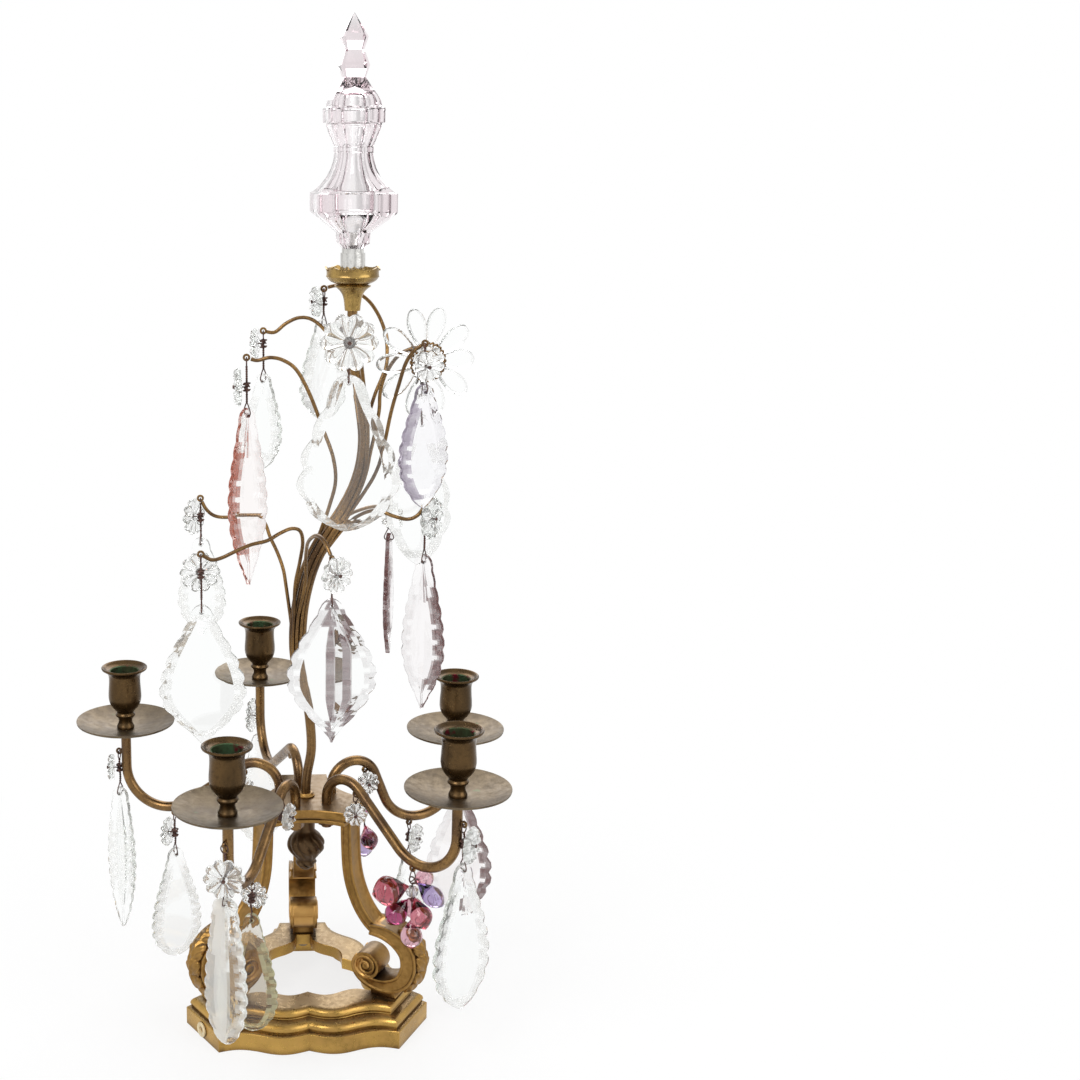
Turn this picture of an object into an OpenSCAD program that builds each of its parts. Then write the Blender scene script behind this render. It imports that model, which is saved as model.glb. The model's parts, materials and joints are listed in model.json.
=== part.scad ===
// Girandole: a branched candle holder of gilt bronze, hung with cut-glass drops.
// The origin is on the axis of the base, at the level it stands on. The front is -Y.

/* [Base] */
// Distance from the axis to each cut-off corner of the base
base_corner_r = 89; // [84:0.5:100]
// Distance from the axis to each side of the base
base_side_r = 65.5; // [62:0.5:72]
// Height of the plain band at the foot of the base
base_band_h = 13.5; // [10:0.5:20]
// Height of the stepped moulding above the band
base_mould_h = 15.5; // [12:0.5:22]
// How far the moulding steps in
base_step_in = 15; // [12:0.5:18]
// Width of the flat rim round the open middle
base_rim_w = 18; // [14:0.5:20]
// Bow of the serpentine sides
base_bow = 5; // [1:0.5:7]
// Wall of the hollow casting
base_wall = 5; // [3:0.5:7]
// Thickness of the web under the rim
base_web_t = 8.5; // [6:0.5:11]

/* [Legs] */
// Height of each leg between the base and the platform
leg_h = 129; // [115:1:150]
// Thickness of the scroll at the foot of the leg
leg_scroll_t = 21; // [16:0.5:26]
// Thickness of the upper leg
leg_top_t = 16; // [12:0.5:20]
// Depth of the upper leg
leg_depth = 8; // [6:0.5:10]
// Radius of the rolled end of the scroll
leg_roll_r = 10.5; // [8:0.5:11.5]
// Diameter of the screws that hold the legs
leg_screw_d = 5; // [4:0.5:6]

/* [Platform] */
// Distance from the axis to each cut-off corner of the platform
plat_corner_r = 42; // [40:0.5:50]
// Distance from the axis to the ends of each platform side
plat_side_r = 36; // [34:0.5:42]
// Hollow of the platform's sides
plat_hollow = 8; // [4:0.5:9]
// Thickness of the platform
plat_t = 11; // [9:0.5:16]

/* [Arms] */
// Diameter of the arm tube
arm_d = 7.4; // [6:0.2:9]
// Distance from the axis to the foot of each arm
arm_root_r = 20; // [18:0.5:22]
// Radius of the arch where the arm leaves the platform
arch_r = 18; // [15:0.5:21]
// Height of the arch above the platform
arch_rise = 22; // [20:0.5:30]
// Radius of the low bend under the candle
bend_r = 30; // [24:0.5:34]
// Height of the centre of the low bend above the platform
bend_rise = 8.5; // [4:0.5:14]
// Height of the pan's seat above the platform
pan_rise = 38.5; // [36:0.5:50]

/* [Pans and candle cups] */
// Diameter of the drip pan
pan_d = 73; // [60:1:84]
// Depth of the drip pan
pan_depth = 6.5; // [5:0.5:9]
// Thickness of the drip pan
pan_t = 1.6; // [1.2:0.1:2.4]
// Height of the candle cup
cup_h = 48; // [44:0.5:60]
// Diameter of the candle cup's rim
cup_rim_d = 34; // [31:0.5:40]
// Diameter of the candle hole
candle_d = 20.4; // [18:0.2:22]
// Depth of the candle hole
candle_depth = 24; // [18:0.5:26]

/* [Stem and branches] */
// Diameter of the main stem
stem_d = 7; // [6:0.2:8]
// Diameter of the branch wires
wire_d = 2.6; // [2:0.1:2.8]
// Diameter of the collar at the foot of the stem
collar_d = 13; // [12:0.5:16]
// Diameter of the gallery cup's rim
gallery_d = 38; // [34:0.5:44]
// Number of scallops on the gallery cup's rim
gallery_scallops = 14; // [10:1:18]

/* [Finial] */
// Height of the glass finial
finial_h = 153; // [130:1:180]
// Width of the finial's large band
finial_w = 60; // [50:1:66]
// Number of cut sides on the finial
finial_sides = 8; // [6:1:12]
// Glass thickness of the finial
finial_wall = 3; // [2:0.2:4]
// Diameter of the metal sleeve that the finial stands in
sleeve_d = 17; // [15:0.5:20]

/* [Glass drops] */
// Wire thickness of the hooks
hook_d = 1; // [0.8:0.1:1.2]
// Diameter of the drilled hole in a pendant
drop_hole_d = 3.2; // [2.8:0.1:3.6]
// Glass thickness at the edge of a pendant
drop_edge_t = 2.6; // [2:0.2:3.2]
// Glass thickness at the middle of a pendant
drop_mid_t = 6; // [4.4:0.2:7]
// Thickness of the rosettes
rosette_t = 3; // [2.4:0.2:4]

/* [Hidden] */
$fn = 48;

// Clearance between pieces that fit into each other
fit = 0.15;
// Space left where one piece hangs beside another
gap = 0.3;

// Levels of the stand
base_h = base_band_h + base_mould_h;
plat_bottom = base_h + leg_h;
plat_top = plat_bottom + plat_t;
corners = [-150, -30, 90];

// Sideways unit circle, three sides each with a cut-off corner at its end
sides = 3;
turn = 360 / sides;
half_turn = turn / 2;

// Points of a smooth curve through hand-picked points
function between(a, b, c, d, t) =
    (2 * b + (c - a) * t + (2 * a - 5 * b + 4 * c - d) * t * t + (3 * b - 3 * c + d - a) * t * t * t) / 2;
function smooth(p, n) = concat(
    [for (i = [0 : len(p) - 2]) for (j = [0 : n - 1])
        between(p[max(i - 1, 0)], p[i], p[i + 1], p[min(i + 2, len(p) - 1)], j / n)],
    [p[len(p) - 1]]);
function unit(v) = v / norm(v);
function last(p) = p[len(p) - 1];
function ways(p) = [for (i = [0 : len(p) - 1]) unit(p[min(i + 1, len(p) - 1)] - p[max(i - 1, 0)])];
function spread(t, i = 0, done = []) = i == len(t) ? done :
    spread(t, i + 1, concat(done, [unit(i == 0 ? cross(t[0], [1, 0.2, 0.1]) : done[i - 1] - t[i] * (done[i - 1] * t[i]))]));
function toward(angle) = [cos(angle), sin(angle), 0];

// Closed solid through a stack of loops that have the same number of points
module skin(loops) {
    n = len(loops[0]);
    m = len(loops);
    walls = [for (j = [0 : m - 2]) for (i = [0 : n - 1]) for (half = [0, 1])
        let (a = j * n + i, b = j * n + (i + 1) % n)
        half == 0 ? [a, a + n, b + n] : [a, b + n, b]];
    foot = [[for (i = [0 : n - 1]) i]];
    head = [[for (i = [n - 1 : -1 : 0]) (m - 1) * n + i]];
    polyhedron(points = [for (loop = loops) each loop], faces = concat(foot, head, walls), convexity = 8);
}

// Closed ring through a chain of loops, where the last loop joins the first
module ring_skin(loops) {
    n = len(loops[0]);
    m = len(loops);
    polyhedron(points = [for (loop = loops) each loop], convexity = 8,
        faces = [for (j = [0 : m - 1]) for (i = [0 : n - 1]) for (half = [0, 1])
            let (k = (i + 1) % n, up = (j + 1) % m)
            half == 0 ? [j * n + i, up * n + i, up * n + k] : [j * n + i, up * n + k, j * n + k]]);
}

// Round wire along a path
module wire(path, r, facets) {
    t = ways(path);
    a = spread(t);
    skin([for (i = [0 : len(path) - 1])
        [for (k = [0 : facets - 1])
            path[i] + r * (cos(360 * k / facets) * a[i] + sin(360 * k / facets) * cross(t[i], a[i]))]]);
}

// Ring of round wire that lies flat
module ring(r, wire_r) {
    rotate_extrude() translate([r, 0]) circle(wire_r, $fn = 16);
}

// Base plan: each side swings out, in to a cusp at its middle, and out again
bow_share = 0.56;
hollow_share = 0.6;
side_steps = 20;
function swing(u) = u < bow_share ? base_bow * sin(180 * u / bow_share)
    : -hollow_share * base_bow * sin(180 * (u - bow_share) / (1 - bow_share));
function side_half(corner, side) = (corner - side * cos(half_turn)) / sin(half_turn);
function base_plan(inset) = [for (k = [0 : sides - 1]) for (i = [0 : side_steps])
    let (u = 2 * i / side_steps - 1)
    let (side = -90 + turn * k)
    let (along = u * side_half(base_corner_r - inset, base_side_r - inset))
    toward(side) * (base_side_r - inset + swing(abs(u))) + toward(side + 90) * along];
function plat_plan(inset) = [for (k = [0 : sides - 1]) for (i = [0 : side_steps])
    let (u = 2 * i / side_steps - 1)
    let (side = -90 + turn * k)
    let (along = u * side_half(plat_corner_r - inset, plat_side_r - inset))
    toward(side) * (plat_side_r - inset - plat_hollow * (1 - u * u)) + toward(side + 90) * along];
function flat(points) = [for (p = points) [p.x, p.y]];
function raised(points, z) = [for (p = points) [p.x, p.y, z]];

// Base moulding as shares of its step and its height: ledge, ogee, quirk, round, rim
base_steps = [[0.2, 0.04], [0.2, 0.1], [0.16, 0.22], [0.22, 0.34], [0.4, 0.46], [0.58, 0.53],
    [0.66, 0.58], [0.62, 0.66], [0.62, 0.78], [0.68, 0.9], [0.8, 0.97], [1, 1]];
base_hole_inset = base_step_in + base_rim_w;
base_upper_inset = base_wall + 0.6 * base_step_in;
leg_screw_r = base_corner_r - base_step_in - base_rim_w / 2;
leg_screw_head_r = leg_screw_d * 0.9;
leg_screw_head_h = leg_screw_d * 0.7;
leg_screw_grip = 9;

// Cable grommet in the wall of the left corner
grommet_hole_r = 2.5;
grommet_neck_r = 4;
grommet_lip_r = 5.6;
grommet_lip_t = 1.6;
grommet_z = base_band_h / 2;

module base_plinth() {
    web_z = base_h - base_web_t;
    lip_z = base_band_h - 1;
    outside = concat([[0, 0], [0, base_band_h]],
        [for (s = base_steps) [s[0] * base_step_in, base_band_h + s[1] * base_mould_h]]);
    inside = [[base_hole_inset, base_h], [base_hole_inset, web_z], [base_upper_inset, web_z],
        [base_upper_inset, lip_z], [base_wall, lip_z], [base_wall, 0]];
    color("#8a6a2a") difference() {
        ring_skin([for (s = concat(outside, inside)) raised(base_plan(s[0]), s[1])]);
        for (a = corners) rotate(a) translate([leg_screw_r, 0, web_z - 1])
            cylinder(r = leg_screw_d / 2 + fit, h = base_web_t + 2);
        rotate(corners[0]) translate([base_corner_r - 2 * base_wall, 0, grommet_z]) rotate([0, 90, 0])
            cylinder(r = grommet_neck_r + fit, h = 3 * base_wall);
    }
}

module cable_grommet() {
    color("ivory") rotate(corners[0]) translate([base_corner_r, 0, grommet_z]) rotate([0, 90, 0]) difference() {
        union() {
            translate([0, 0, fit]) cylinder(r = grommet_lip_r, h = grommet_lip_t);
            translate([0, 0, -base_wall]) cylinder(r = grommet_neck_r, h = base_wall + grommet_lip_t);
        }
        translate([0, 0, -base_wall - 1]) cylinder(r = grommet_hole_r, h = base_wall + 2 * grommet_lip_t + 2);
    }
}

// Leg: distance from the axis and height above the base along its middle line, with half its depth
scroll_top = 52;
function up_leg(share) = scroll_top + share * (leg_h - scroll_top);
upper_line = [[36.5, up_leg(1)], [37, up_leg(0.75)], [38.5, up_leg(0.5)], [42.5, up_leg(0.3)],
    [49, up_leg(0.13)], [58, up_leg(0)], [68, up_leg(-0.03)]];
scroll_line = [[57, 51, 4], [68, 50.5, 5], [79, 46, 5.7], [87, 37, 6], [88, 25, 6], [82, 14, 5.6],
    [70.5, 8.6, 5], [58.5, 9, 4.4], [50, 14, 4.2], [47, 21, 4], [49.5, 27.5, 3.6]];
roll_at = [54.5, 21.5];
foot_from = 58;
foot_to = 78;
foot_h = 7;
tenon_r = 3;
tenon_h = 7;
tenon_at = upper_line[0][0];

// Band of changing depth along a middle line
function across(p) = [for (i = [0 : len(p) - 1])
    let (a = p[max(i - 1, 0)], b = p[min(i + 1, len(p) - 1)], d = unit([b.x - a.x, b.y - a.y])) [-d.y, d.x]];
module band(line) {
    n = across(line);
    polygon(concat([for (i = [0 : len(line) - 1]) [line[i].x, line[i].y] + line[i].z * n[i]],
        [for (i = [len(line) - 1 : -1 : 0]) [line[i].x, line[i].y] - line[i].z * n[i]]));
}
module upright(thickness) {
    rotate([90, 0, 0]) translate([0, 0, -thickness / 2]) linear_extrude(thickness) children();
}
module leg(angle) {
    rotate(angle) translate([0, 0, base_h]) difference() {
        union() {
            upright(leg_top_t) intersection() {
                band(smooth([for (p = upper_line) [p.x, p.y, leg_depth / 2]], 4));
                square([2 * base_corner_r, leg_h]);
            }
            upright(leg_scroll_t) band(smooth(scroll_line, 5));
            upright(leg_scroll_t) translate(roll_at) circle(leg_roll_r);
            upright(leg_top_t) translate([foot_from, 0]) square([foot_to - foot_from, foot_h]);
            translate([tenon_at, 0, leg_h - 1]) cylinder(r = tenon_r, h = tenon_h + 1);
        }
        translate([leg_screw_r, 0, -1]) cylinder(r = leg_screw_d / 2 + fit, h = leg_screw_grip + 2);
    }
}
module leg_front_left() { color("#8f6e2c") leg(corners[0]); }
module leg_front_right() { color("#8f6e2c") leg(corners[1]); }
module leg_back() { color("#8f6e2c") leg(corners[2]); }

// Acanthus leaf on the outer curve of each scroll
leaf_mid = [64, 30.5];
leaf_in_r = 31.4;
leaf_t = 4.5;
leaf_w = 15;
leaf_from = -42;
leaf_sweep = 78;
module acanthus_leaves() {
    color("#7d5f26") for (a = corners) rotate(a) translate([leaf_mid.x, 0, base_h + leaf_mid.y]) rotate([90, 0, 0])
        rotate(leaf_from) rotate_extrude(angle = leaf_sweep)
            polygon([[leaf_in_r, -leaf_w / 2], [leaf_in_r + leaf_t * 0.6, -leaf_w / 2],
                [leaf_in_r + leaf_t, 0], [leaf_in_r + leaf_t * 0.6, leaf_w / 2], [leaf_in_r, leaf_w / 2]]);
}

module leg_screws() {
    color("#6b6258") for (a = corners) rotate(a) translate([leg_screw_r, 0, base_h - base_web_t]) {
        translate([0, 0, -leg_screw_head_h]) cylinder(r = leg_screw_head_r, h = leg_screw_head_h);
        translate([0, 0, -1]) cylinder(r = leg_screw_d / 2, h = base_web_t + leg_screw_grip + 1);
    }
}

// Platform edge as inset, and the shares of the thickness where each band starts and ends: bead, quirk, cove and band
plat_edge = [[2, 0, 0.3], [3, 0.02, 0.98], [1, 0.38, 0.5], [0, 0.46, 0.92], [0.8, 0.5, 1]];
stem_bore_r = stem_d / 2 + fit;
arm_bore_r = arm_d / 2 + fit;
arm_angles = [-114, -43, 19, 103, 164];
arm_reaches = [137, 136, 121, 143, 139];
arm_lifts = [1, -2, -8, 6, 2];
arms = [0 : len(arm_angles) - 1];

module platform() {
    color("#8a6d33") difference() {
        for (s = plat_edge) translate([0, 0, plat_bottom + s[1] * plat_t])
            linear_extrude((s[2] - s[1]) * plat_t) polygon(flat(plat_plan(s[0])));
        translate([0, 0, plat_bottom - 1]) cylinder(r = stem_bore_r, h = plat_t + 2);
        for (i = arms) rotate(arm_angles[i]) translate([arm_root_r, 0, plat_bottom - 1])
            cylinder(r = arm_bore_r, h = plat_t + 2);
        for (a = corners) rotate(a) translate([tenon_at, 0, plat_bottom - 1])
            cylinder(r = tenon_r + fit, h = tenon_h + 1 + gap);
    }
}

// Pinecone knop, screwed on the foot of the stem: radius and depth below the platform
knop_bore_h = 16;
stem_foot = 14;
knop_line = [[6, 0.2], [6, 6], [5.4, 10], [8, 13], [12.6, 19], [14, 25], [13, 31], [10, 36], [7.5, 39], [8.4, 42],
    [6.5, 46], [3, 48.5]];
module pinecone_knop() {
    color("#4a3620") translate([0, 0, plat_bottom]) difference() {
        rotate_extrude() polygon(concat([[0, -knop_line[0].y]],
            [for (p = smooth(knop_line, 3)) [p.x, -p.y]], [[0, -last(knop_line).y]]));
        translate([0, 0, -knop_bore_h]) cylinder(r = stem_bore_r, h = knop_bore_h + 1);
    }
}

// Nut on the foot of each arm
nut_h = 5;
nut_r = arm_d / 2 + 2.6;
arm_foot = plat_t + nut_h + 2;
module arm_nuts() {
    color("#7a6440") for (i = arms) rotate(arm_angles[i])
        translate([arm_root_r, 0, plat_bottom - nut_h - fit]) difference() {
            cylinder(r = nut_r, h = nut_h, $fn = 6);
            translate([0, 0, -1]) cylinder(r = arm_bore_r, h = nut_h + 2);
        }
}

// Arm: arch, straight slope and low bend that meet each other smoothly
pan_seat_r = 6;
spigot_r = 3;
spigot_h = pan_t + 7;
collar_h = 5;
eye_r = 2.6;
eye_t = 1.8;
eye_hole_r = 1.1;
eye_out = 1.3;
cup_eye_out = 2;
cup_eye_rise = 19.5;
arch_out = 9;
lap = 0.3;
straight_d = arm_d - 0.06;
function arch_mid() = [arm_root_r + arch_r, plat_top + arch_rise - arch_r];
function bend_mid(i) = [arm_reaches[i] - bend_r, plat_top + bend_rise + arm_lifts[i]];
function slope(i) = let (d = bend_mid(i) - arch_mid()) atan2(d.y, d.x) - asin((arch_r + bend_r) / norm(d));
function pan_seat(i) = plat_top + pan_rise + arm_lifts[i];
function on_arm(i, r, z) = toward(arm_angles[i]) * r + [0, 0, z];
function cup_eye(i) = on_arm(i, arm_reaches[i] + arm_d / 2 + cup_eye_out, plat_top + cup_eye_rise + arm_lifts[i]);
// The lower eye sits a little inside the lowest point of the bend
bend_eye_turn = 12;
function bend_eye(i) = let (out = bend_r + arm_d / 2 + eye_out)
    on_arm(i, bend_mid(i).x - out * sin(bend_eye_turn), bend_mid(i).y - out * cos(bend_eye_turn));
function arch_eye(i) = on_arm(i, arch_mid().x + arch_out,
    arch_mid().y + sqrt(pow(arch_r - arm_d / 2, 2) - arch_out * arch_out) - eye_out);
module eye(at, heading) {
    translate(at) rotate([90, 0, heading]) cylinder(r = eye_r, h = eye_t, center = true);
}
module eye_hole(at, heading) {
    translate(at) rotate([90, 0, heading]) cylinder(r = eye_hole_r, h = 4 * eye_t, center = true);
}
module arc(mid, r, from, sweep) {
    translate([mid.x, 0, mid.y]) rotate([90, 0, 0]) rotate(from)
        rotate_extrude(angle = sweep) translate([r, 0]) circle(arm_d / 2);
}
module arm(i) {
    s = slope(i);
    a = arch_mid();
    b = bend_mid(i);
    run = norm(b - a) * cos(asin((arch_r + bend_r) / norm(b - a)));
    start = a + arch_r * [-sin(s), cos(s)];
    seat = pan_seat(i) - pan_t;
    difference() {
        union() {
            rotate(arm_angles[i]) {
                translate([arm_root_r, 0, plat_top - arm_foot])
                    cylinder(d = straight_d, h = a.y - plat_top + arm_foot + lap);
                arc(a, arch_r, 90 + s, 90 - s);
                translate([start.x, 0, start.y]) rotate([0, 90 - s, 0]) translate([0, 0, -lap])
                    cylinder(d = straight_d, h = run + 2 * lap);
                arc(b, bend_r, 270 + s, 90 - s);
                translate([arm_reaches[i], 0, b.y - lap]) cylinder(d = straight_d, h = seat - b.y);
                translate([arm_reaches[i], 0, seat - collar_h])
                    cylinder(r1 = arm_d / 2 + fit, r2 = pan_seat_r, h = collar_h);
                translate([arm_reaches[i], 0, seat - 1]) cylinder(r = spigot_r, h = spigot_h + 1);
            }
            for (e = [cup_eye(i), bend_eye(i), arch_eye(i)]) eye(e, arm_angles[i]);
        }
        for (e = [cup_eye(i), bend_eye(i), arch_eye(i)]) eye_hole(e, arm_angles[i]);
    }
}
module arm_front_left() { color("#86662c") arm(0); }
module arm_front_right() { color("#86662c") arm(1); }
module arm_right() { color("#86662c") arm(2); }
module arm_back() { color("#86662c") arm(3); }
module arm_left() { color("#86662c") arm(4); }

// Drip pan: a shallow dish with a flat seat
pan_steps = 8;
function dish(share) = pan_depth * pow(share, 1.7);
function pan_r(share) = cup_foot_r + share * (pan_d / 2 - cup_foot_r);
module pan(i) {
    translate(on_arm(i, arm_reaches[i], pan_seat(i))) rotate_extrude() polygon(concat(
        [[spigot_r + fit, 0]], [for (k = [0 : pan_steps]) [pan_r(k / pan_steps), dish(k / pan_steps)]],
        [for (k = [pan_steps : -1 : 0]) [pan_r(k / pan_steps), dish(k / pan_steps) - pan_t]], [[spigot_r + fit, -pan_t]]));
}
module drip_pan_front_left() { color("#7d6e52") pan(0); }
module drip_pan_front_right() { color("#7d6e52") pan(1); }
module drip_pan_right() { color("#7d6e52") pan(2); }
module drip_pan_back() { color("#7d6e52") pan(3); }
module drip_pan_left() { color("#7d6e52") pan(4); }

// Candle cup: foot, neck, ring, vase and flared rim
cup_foot_r = 6.5;
cup_wall = 1.4;
cup_mouth = 3;
cup_neck_r = candle_d / 2 + cup_wall;
cup_line = [[cup_foot_r - 0.4, 0], [cup_foot_r, 1.6], [6, 3.4], [5, 6], [5.6, 8.4], [6, 9], [7, 10.2], [7.2, 11.2], [6.6, 12.4],
    [6.4, 13.4], [9.2, 17], [cup_neck_r - 0.5, 20.4], [cup_neck_r + 0.6, 25], [cup_neck_r + 0.2, 31],
    [cup_neck_r, cup_h - 9], [cup_neck_r + 0.4, cup_h - 6], [cup_rim_d / 2 - 2.4, cup_h - 3.4], [cup_rim_d / 2 - 0.3, cup_h - 1.8],
    [cup_rim_d / 2, cup_h - 0.8], [cup_rim_d / 2 - 0.8, cup_h], [candle_d / 2 + 0.8, cup_h - cup_mouth]];
module cup(i) {
    translate(on_arm(i, arm_reaches[i], pan_seat(i))) difference() {
        rotate_extrude() polygon(concat([[0, 0]], cup_line, [[0, cup_h - cup_mouth]]));
        translate([0, 0, cup_h - candle_depth]) cylinder(d = candle_d, h = candle_depth + 1);
        translate([0, 0, -1]) cylinder(r = spigot_r + fit, h = spigot_h - pan_t + 1 + gap);
    }
}
module candle_cup_front_left() { color("#6e5a30") cup(0); }
module candle_cup_front_right() { color("#6e5a30") cup(1); }
module candle_cup_right() { color("#6e5a30") cup(2); }
module candle_cup_back() { color("#6e5a30") cup(3); }
module candle_cup_left() { color("#6e5a30") cup(4); }

// Main stem: side and height above the platform along its middle line
stem_line = [[0, 8], [1, 18], [4, 38], [2, 66], [-3, 92], [-6, 116], [-4, 146], [3, 174], [14, 196], [27, 216], [37, 238],
    [41, 262], [39, 288], [34, 314], [32, 340], [32, 355]];
stem_path = smooth([for (p = stem_line) [p[0], 0, p[1]]], 4);
stem_ways = ways(stem_path);
stem_top = last(stem_path);
collar_t = 3;
socket_h = 12;
module main_stem() {
    color("#8c6a35") translate([0, 0, plat_top]) union() {
        wire(stem_path, stem_d / 2 - 0.05, 12);
        translate([0, 0, -plat_t - stem_foot]) cylinder(d = stem_d, h = plat_t + stem_foot + stem_path[0].z + 1);
        translate(stem_top - [0, 0, 1]) cylinder(d = stem_d, h = socket_h + 1);
    }
}
module stem_collar() {
    color("#86662c") translate([0, 0, plat_top]) rotate_extrude()
        polygon([[stem_bore_r, 0], [collar_d / 2, 0], [collar_d / 2, collar_t * 0.4], [collar_d / 2 - 1, collar_t * 0.7],
            [collar_d / 2 - 1.6, collar_t], [stem_bore_r, collar_t]]);
}

// Branch wires lie round the stem like strands, and each leaves it for its own tip
strands = 11;
bend_steps = 2;
strand_r = stem_d / 2 + wire_d / 2 + gap;
function beside_stem(strand, low, high) = [for (k = [0 : len(stem_path) - 1])
    if (stem_path[k].z >= low && stem_path[k].z <= high)
        let (a = 360 * strand / strands, t = stem_ways[k])
        stem_path[k] + strand_r * (cos(a) * [t.z, 0, -t.x] + sin(a) * [0, 1, 0])];
function branch(strand, low, high, free) =
    let (run = beside_stem(strand, low, high), n = len(run))
    let (tail = smooth(concat([run[n - 2], run[n - 1]], free), bend_steps))
    concat(run, [for (k = [bend_steps + 1 : len(tail) - 1]) tail[k]]);
function heading(path) = let (d = last(path) - path[len(path) - 2]) atan2(d.y, d.x);

// Free points of each branch wire, from the top of the platform; the last one is its drilled tip
top_branch = branch(3, 118, 266, [[48, 12, 292], [56, 16, 312], [58, 22, 328], [55, 28, 343], [47, 34, 357], [36, 37, 365],
    [24, 37, 369], [14, 35, 367]]);
back_left_branch = branch(4, 114, 276, [[33, 16, 304], [24, 22, 325], [14, 27, 339], [5, 30, 346], [-4, 31, 347], [-13, 31, 343],
    [-21, 30, 337], [-29, 30, 338]]);
pink_branch = branch(6, 112, 196, [[16, -8, 220], [20, -12, 238], [18, -16, 256], [11, -19, 276], [2, -22, 300], [-7, -24, 317],
    [-16, -25, 324], [-25, -25, 326], [-34, -24, 324], [-41, -24, 326]]);
front_branch = branch(9, 112, 250, [[42, -15, 276], [39, -28, 300], [35, -44, 326], [31, -58, 346], [28, -67, 355], [25, -73, 356]]);
lilac_branch = branch(10, 116, 214, [[47, -6, 240], [53, -15, 262], [57, -26, 288], [61, -36, 308], [65, -43, 324], [70, -48, 333],
    [77, -50, 338]]);
daisy_branch = branch(1, 120, 254, [[51, 4, 282], [52, 3, 298], [56, 0, 313], [63, -3, 324], [71, -5, 329], [79, -6, 330]]);
mauve_branch = branch(0, 110, 188, [[29, 1, 204], [39, -4, 213], [49, -11, 217], [60, -17, 214], [70, -19, 212], [77, -20, 215],
    [82, -20, 222]]);
small_branch = branch(5, 96, 132, [[-14, 5, 158], [-16, 8, 170], [-20, 13, 181], [-25, 18, 191], [-29, 22, 201], [-37, 25, 206],
    [-46, 26, 206], [-56, 27, 204], [-65, 28, 205], [-71, 28, 210], [-75, 28, 218]]);
left_kite_branch = branch(7, 100, 136, [[-8, -10, 162], [-5, -15, 180], [-3, -21, 196], [-5, -27, 206], [-11, -32, 209],
    [-19, -37, 207], [-28, -42, 203], [-39, -45, 201], [-50, -48, 197], [-59, -49, 193], [-66, -50, 192], [-73, -50, 196]]);
front_kite_branch = branch(8, 104, 142, [[-1, -12, 164], [-1, -20, 178], [-1, -32, 192], [0, -46, 203], [4, -62, 211], [8, -74, 212],
    [11, -81, 208], [14, -86, 201]]);
back_branch = branch(2, 108, 178, [[17, 14, 196], [30, 25, 205], [45, 42, 207], [56, 57, 205], [65, 68, 202]]);
branches = [top_branch, back_left_branch, pink_branch, front_branch, lilac_branch, daisy_branch, mauve_branch, small_branch,
    left_kite_branch, front_kite_branch, back_branch];
eye_overlap = 0.9;
module branch_wire(path) {
    tip = last(path);
    clear = [for (p = path) if (norm(tip - p) > eye_r + eye_overlap) p];
    difference() {
        union() {
            wire(concat(clear, [tip - (eye_r - eye_overlap) * unit(tip - last(clear))]), wire_d / 2, 8);
            eye(tip, heading(path));
        }
        eye_hole(tip, heading(path));
    }
}
module branch_wires() {
    color("#8c6a35") translate([0, 0, plat_top]) for (path = branches) branch_wire(path);
}

// Gallery cup: trumpet socket, fillet, bowl and scalloped rim, in heights above the stem's top
trumpet_h = 17;
bowl_h = 11;
gallery_wall = 1.6;
trumpet_foot_r = stem_d / 2 + 1.8;
sleeve_r = sleeve_d / 2;
bowl_floor = trumpet_h + 4;
gallery_at = [stem_top.x, 0, plat_top + stem_top.z];
gallery_line = [[trumpet_foot_r, 0], [trumpet_foot_r + 0.4, 5], [trumpet_foot_r + 1.4, 11], [trumpet_foot_r + 3, 15],
    [trumpet_foot_r + 4.4, trumpet_h], [trumpet_foot_r + 4.6, trumpet_h + 1], [trumpet_foot_r + 3.6, trumpet_h + 1.6],
    [sleeve_r + 3, trumpet_h + 2.4], [gallery_d / 2 - 3.4, trumpet_h + 5.4], [gallery_d / 2 - 1.4, trumpet_h + bowl_h - 3],
    [gallery_d / 2, trumpet_h + bowl_h + 2]];
scallop_from = gallery_d / 2 - gallery_wall - 2.4;
scallop_r = 0.45 * 2 * PI * scallop_from / gallery_scallops;
module gallery_cup() {
    color("#96742f") translate(gallery_at) difference() {
        rotate_extrude() polygon(concat([[0, 0]], gallery_line, [[gallery_d / 2 - gallery_wall, trumpet_h + bowl_h + 2],
            [gallery_d / 2 - gallery_wall - 1.4, trumpet_h + bowl_h - 2], [gallery_d / 2 - 5, bowl_floor + 1.6], [sleeve_r + fit, bowl_floor],
            [0, bowl_floor]]));
        translate([0, 0, -1]) cylinder(r = stem_bore_r, h = socket_h + 1 + gap);
        translate([0, 0, bowl_floor - tang_h]) cylinder(r = tang_r + fit, h = tang_h + 1);
        for (k = [1 : gallery_scallops]) rotate(360 * k / gallery_scallops)
            translate([scallop_from, 0, trumpet_h + bowl_h + 2 + scallop_r * 0.3]) rotate([0, 90, 0])
                cylinder(r = scallop_r, h = gallery_d / 2);
    }
}

// Finial sleeve: a tang down into the gallery cup, and a peg up into the glass
sleeve_h = 21;
sleeve_peg_r = 4.4;
sleeve_peg_h = 12;
finial_neck_r = 7.6;
tang_r = 3;
tang_h = 6;
sleeve_at = gallery_at + [0, 0, bowl_floor + fit];
module finial_sleeve() {
    color("#77746e") translate(sleeve_at) {
        translate([0, 0, -tang_h]) cylinder(r = tang_r, h = tang_h + 1);
        cylinder(r = sleeve_r, h = sleeve_h - 3);
        translate([0, 0, sleeve_h - 3.5]) cylinder(r = sleeve_r - 1, h = 3.5);
        translate([0, 0, sleeve_h - 1]) cylinder(r = sleeve_peg_r, h = sleeve_peg_h + 1);
    }
}

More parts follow.
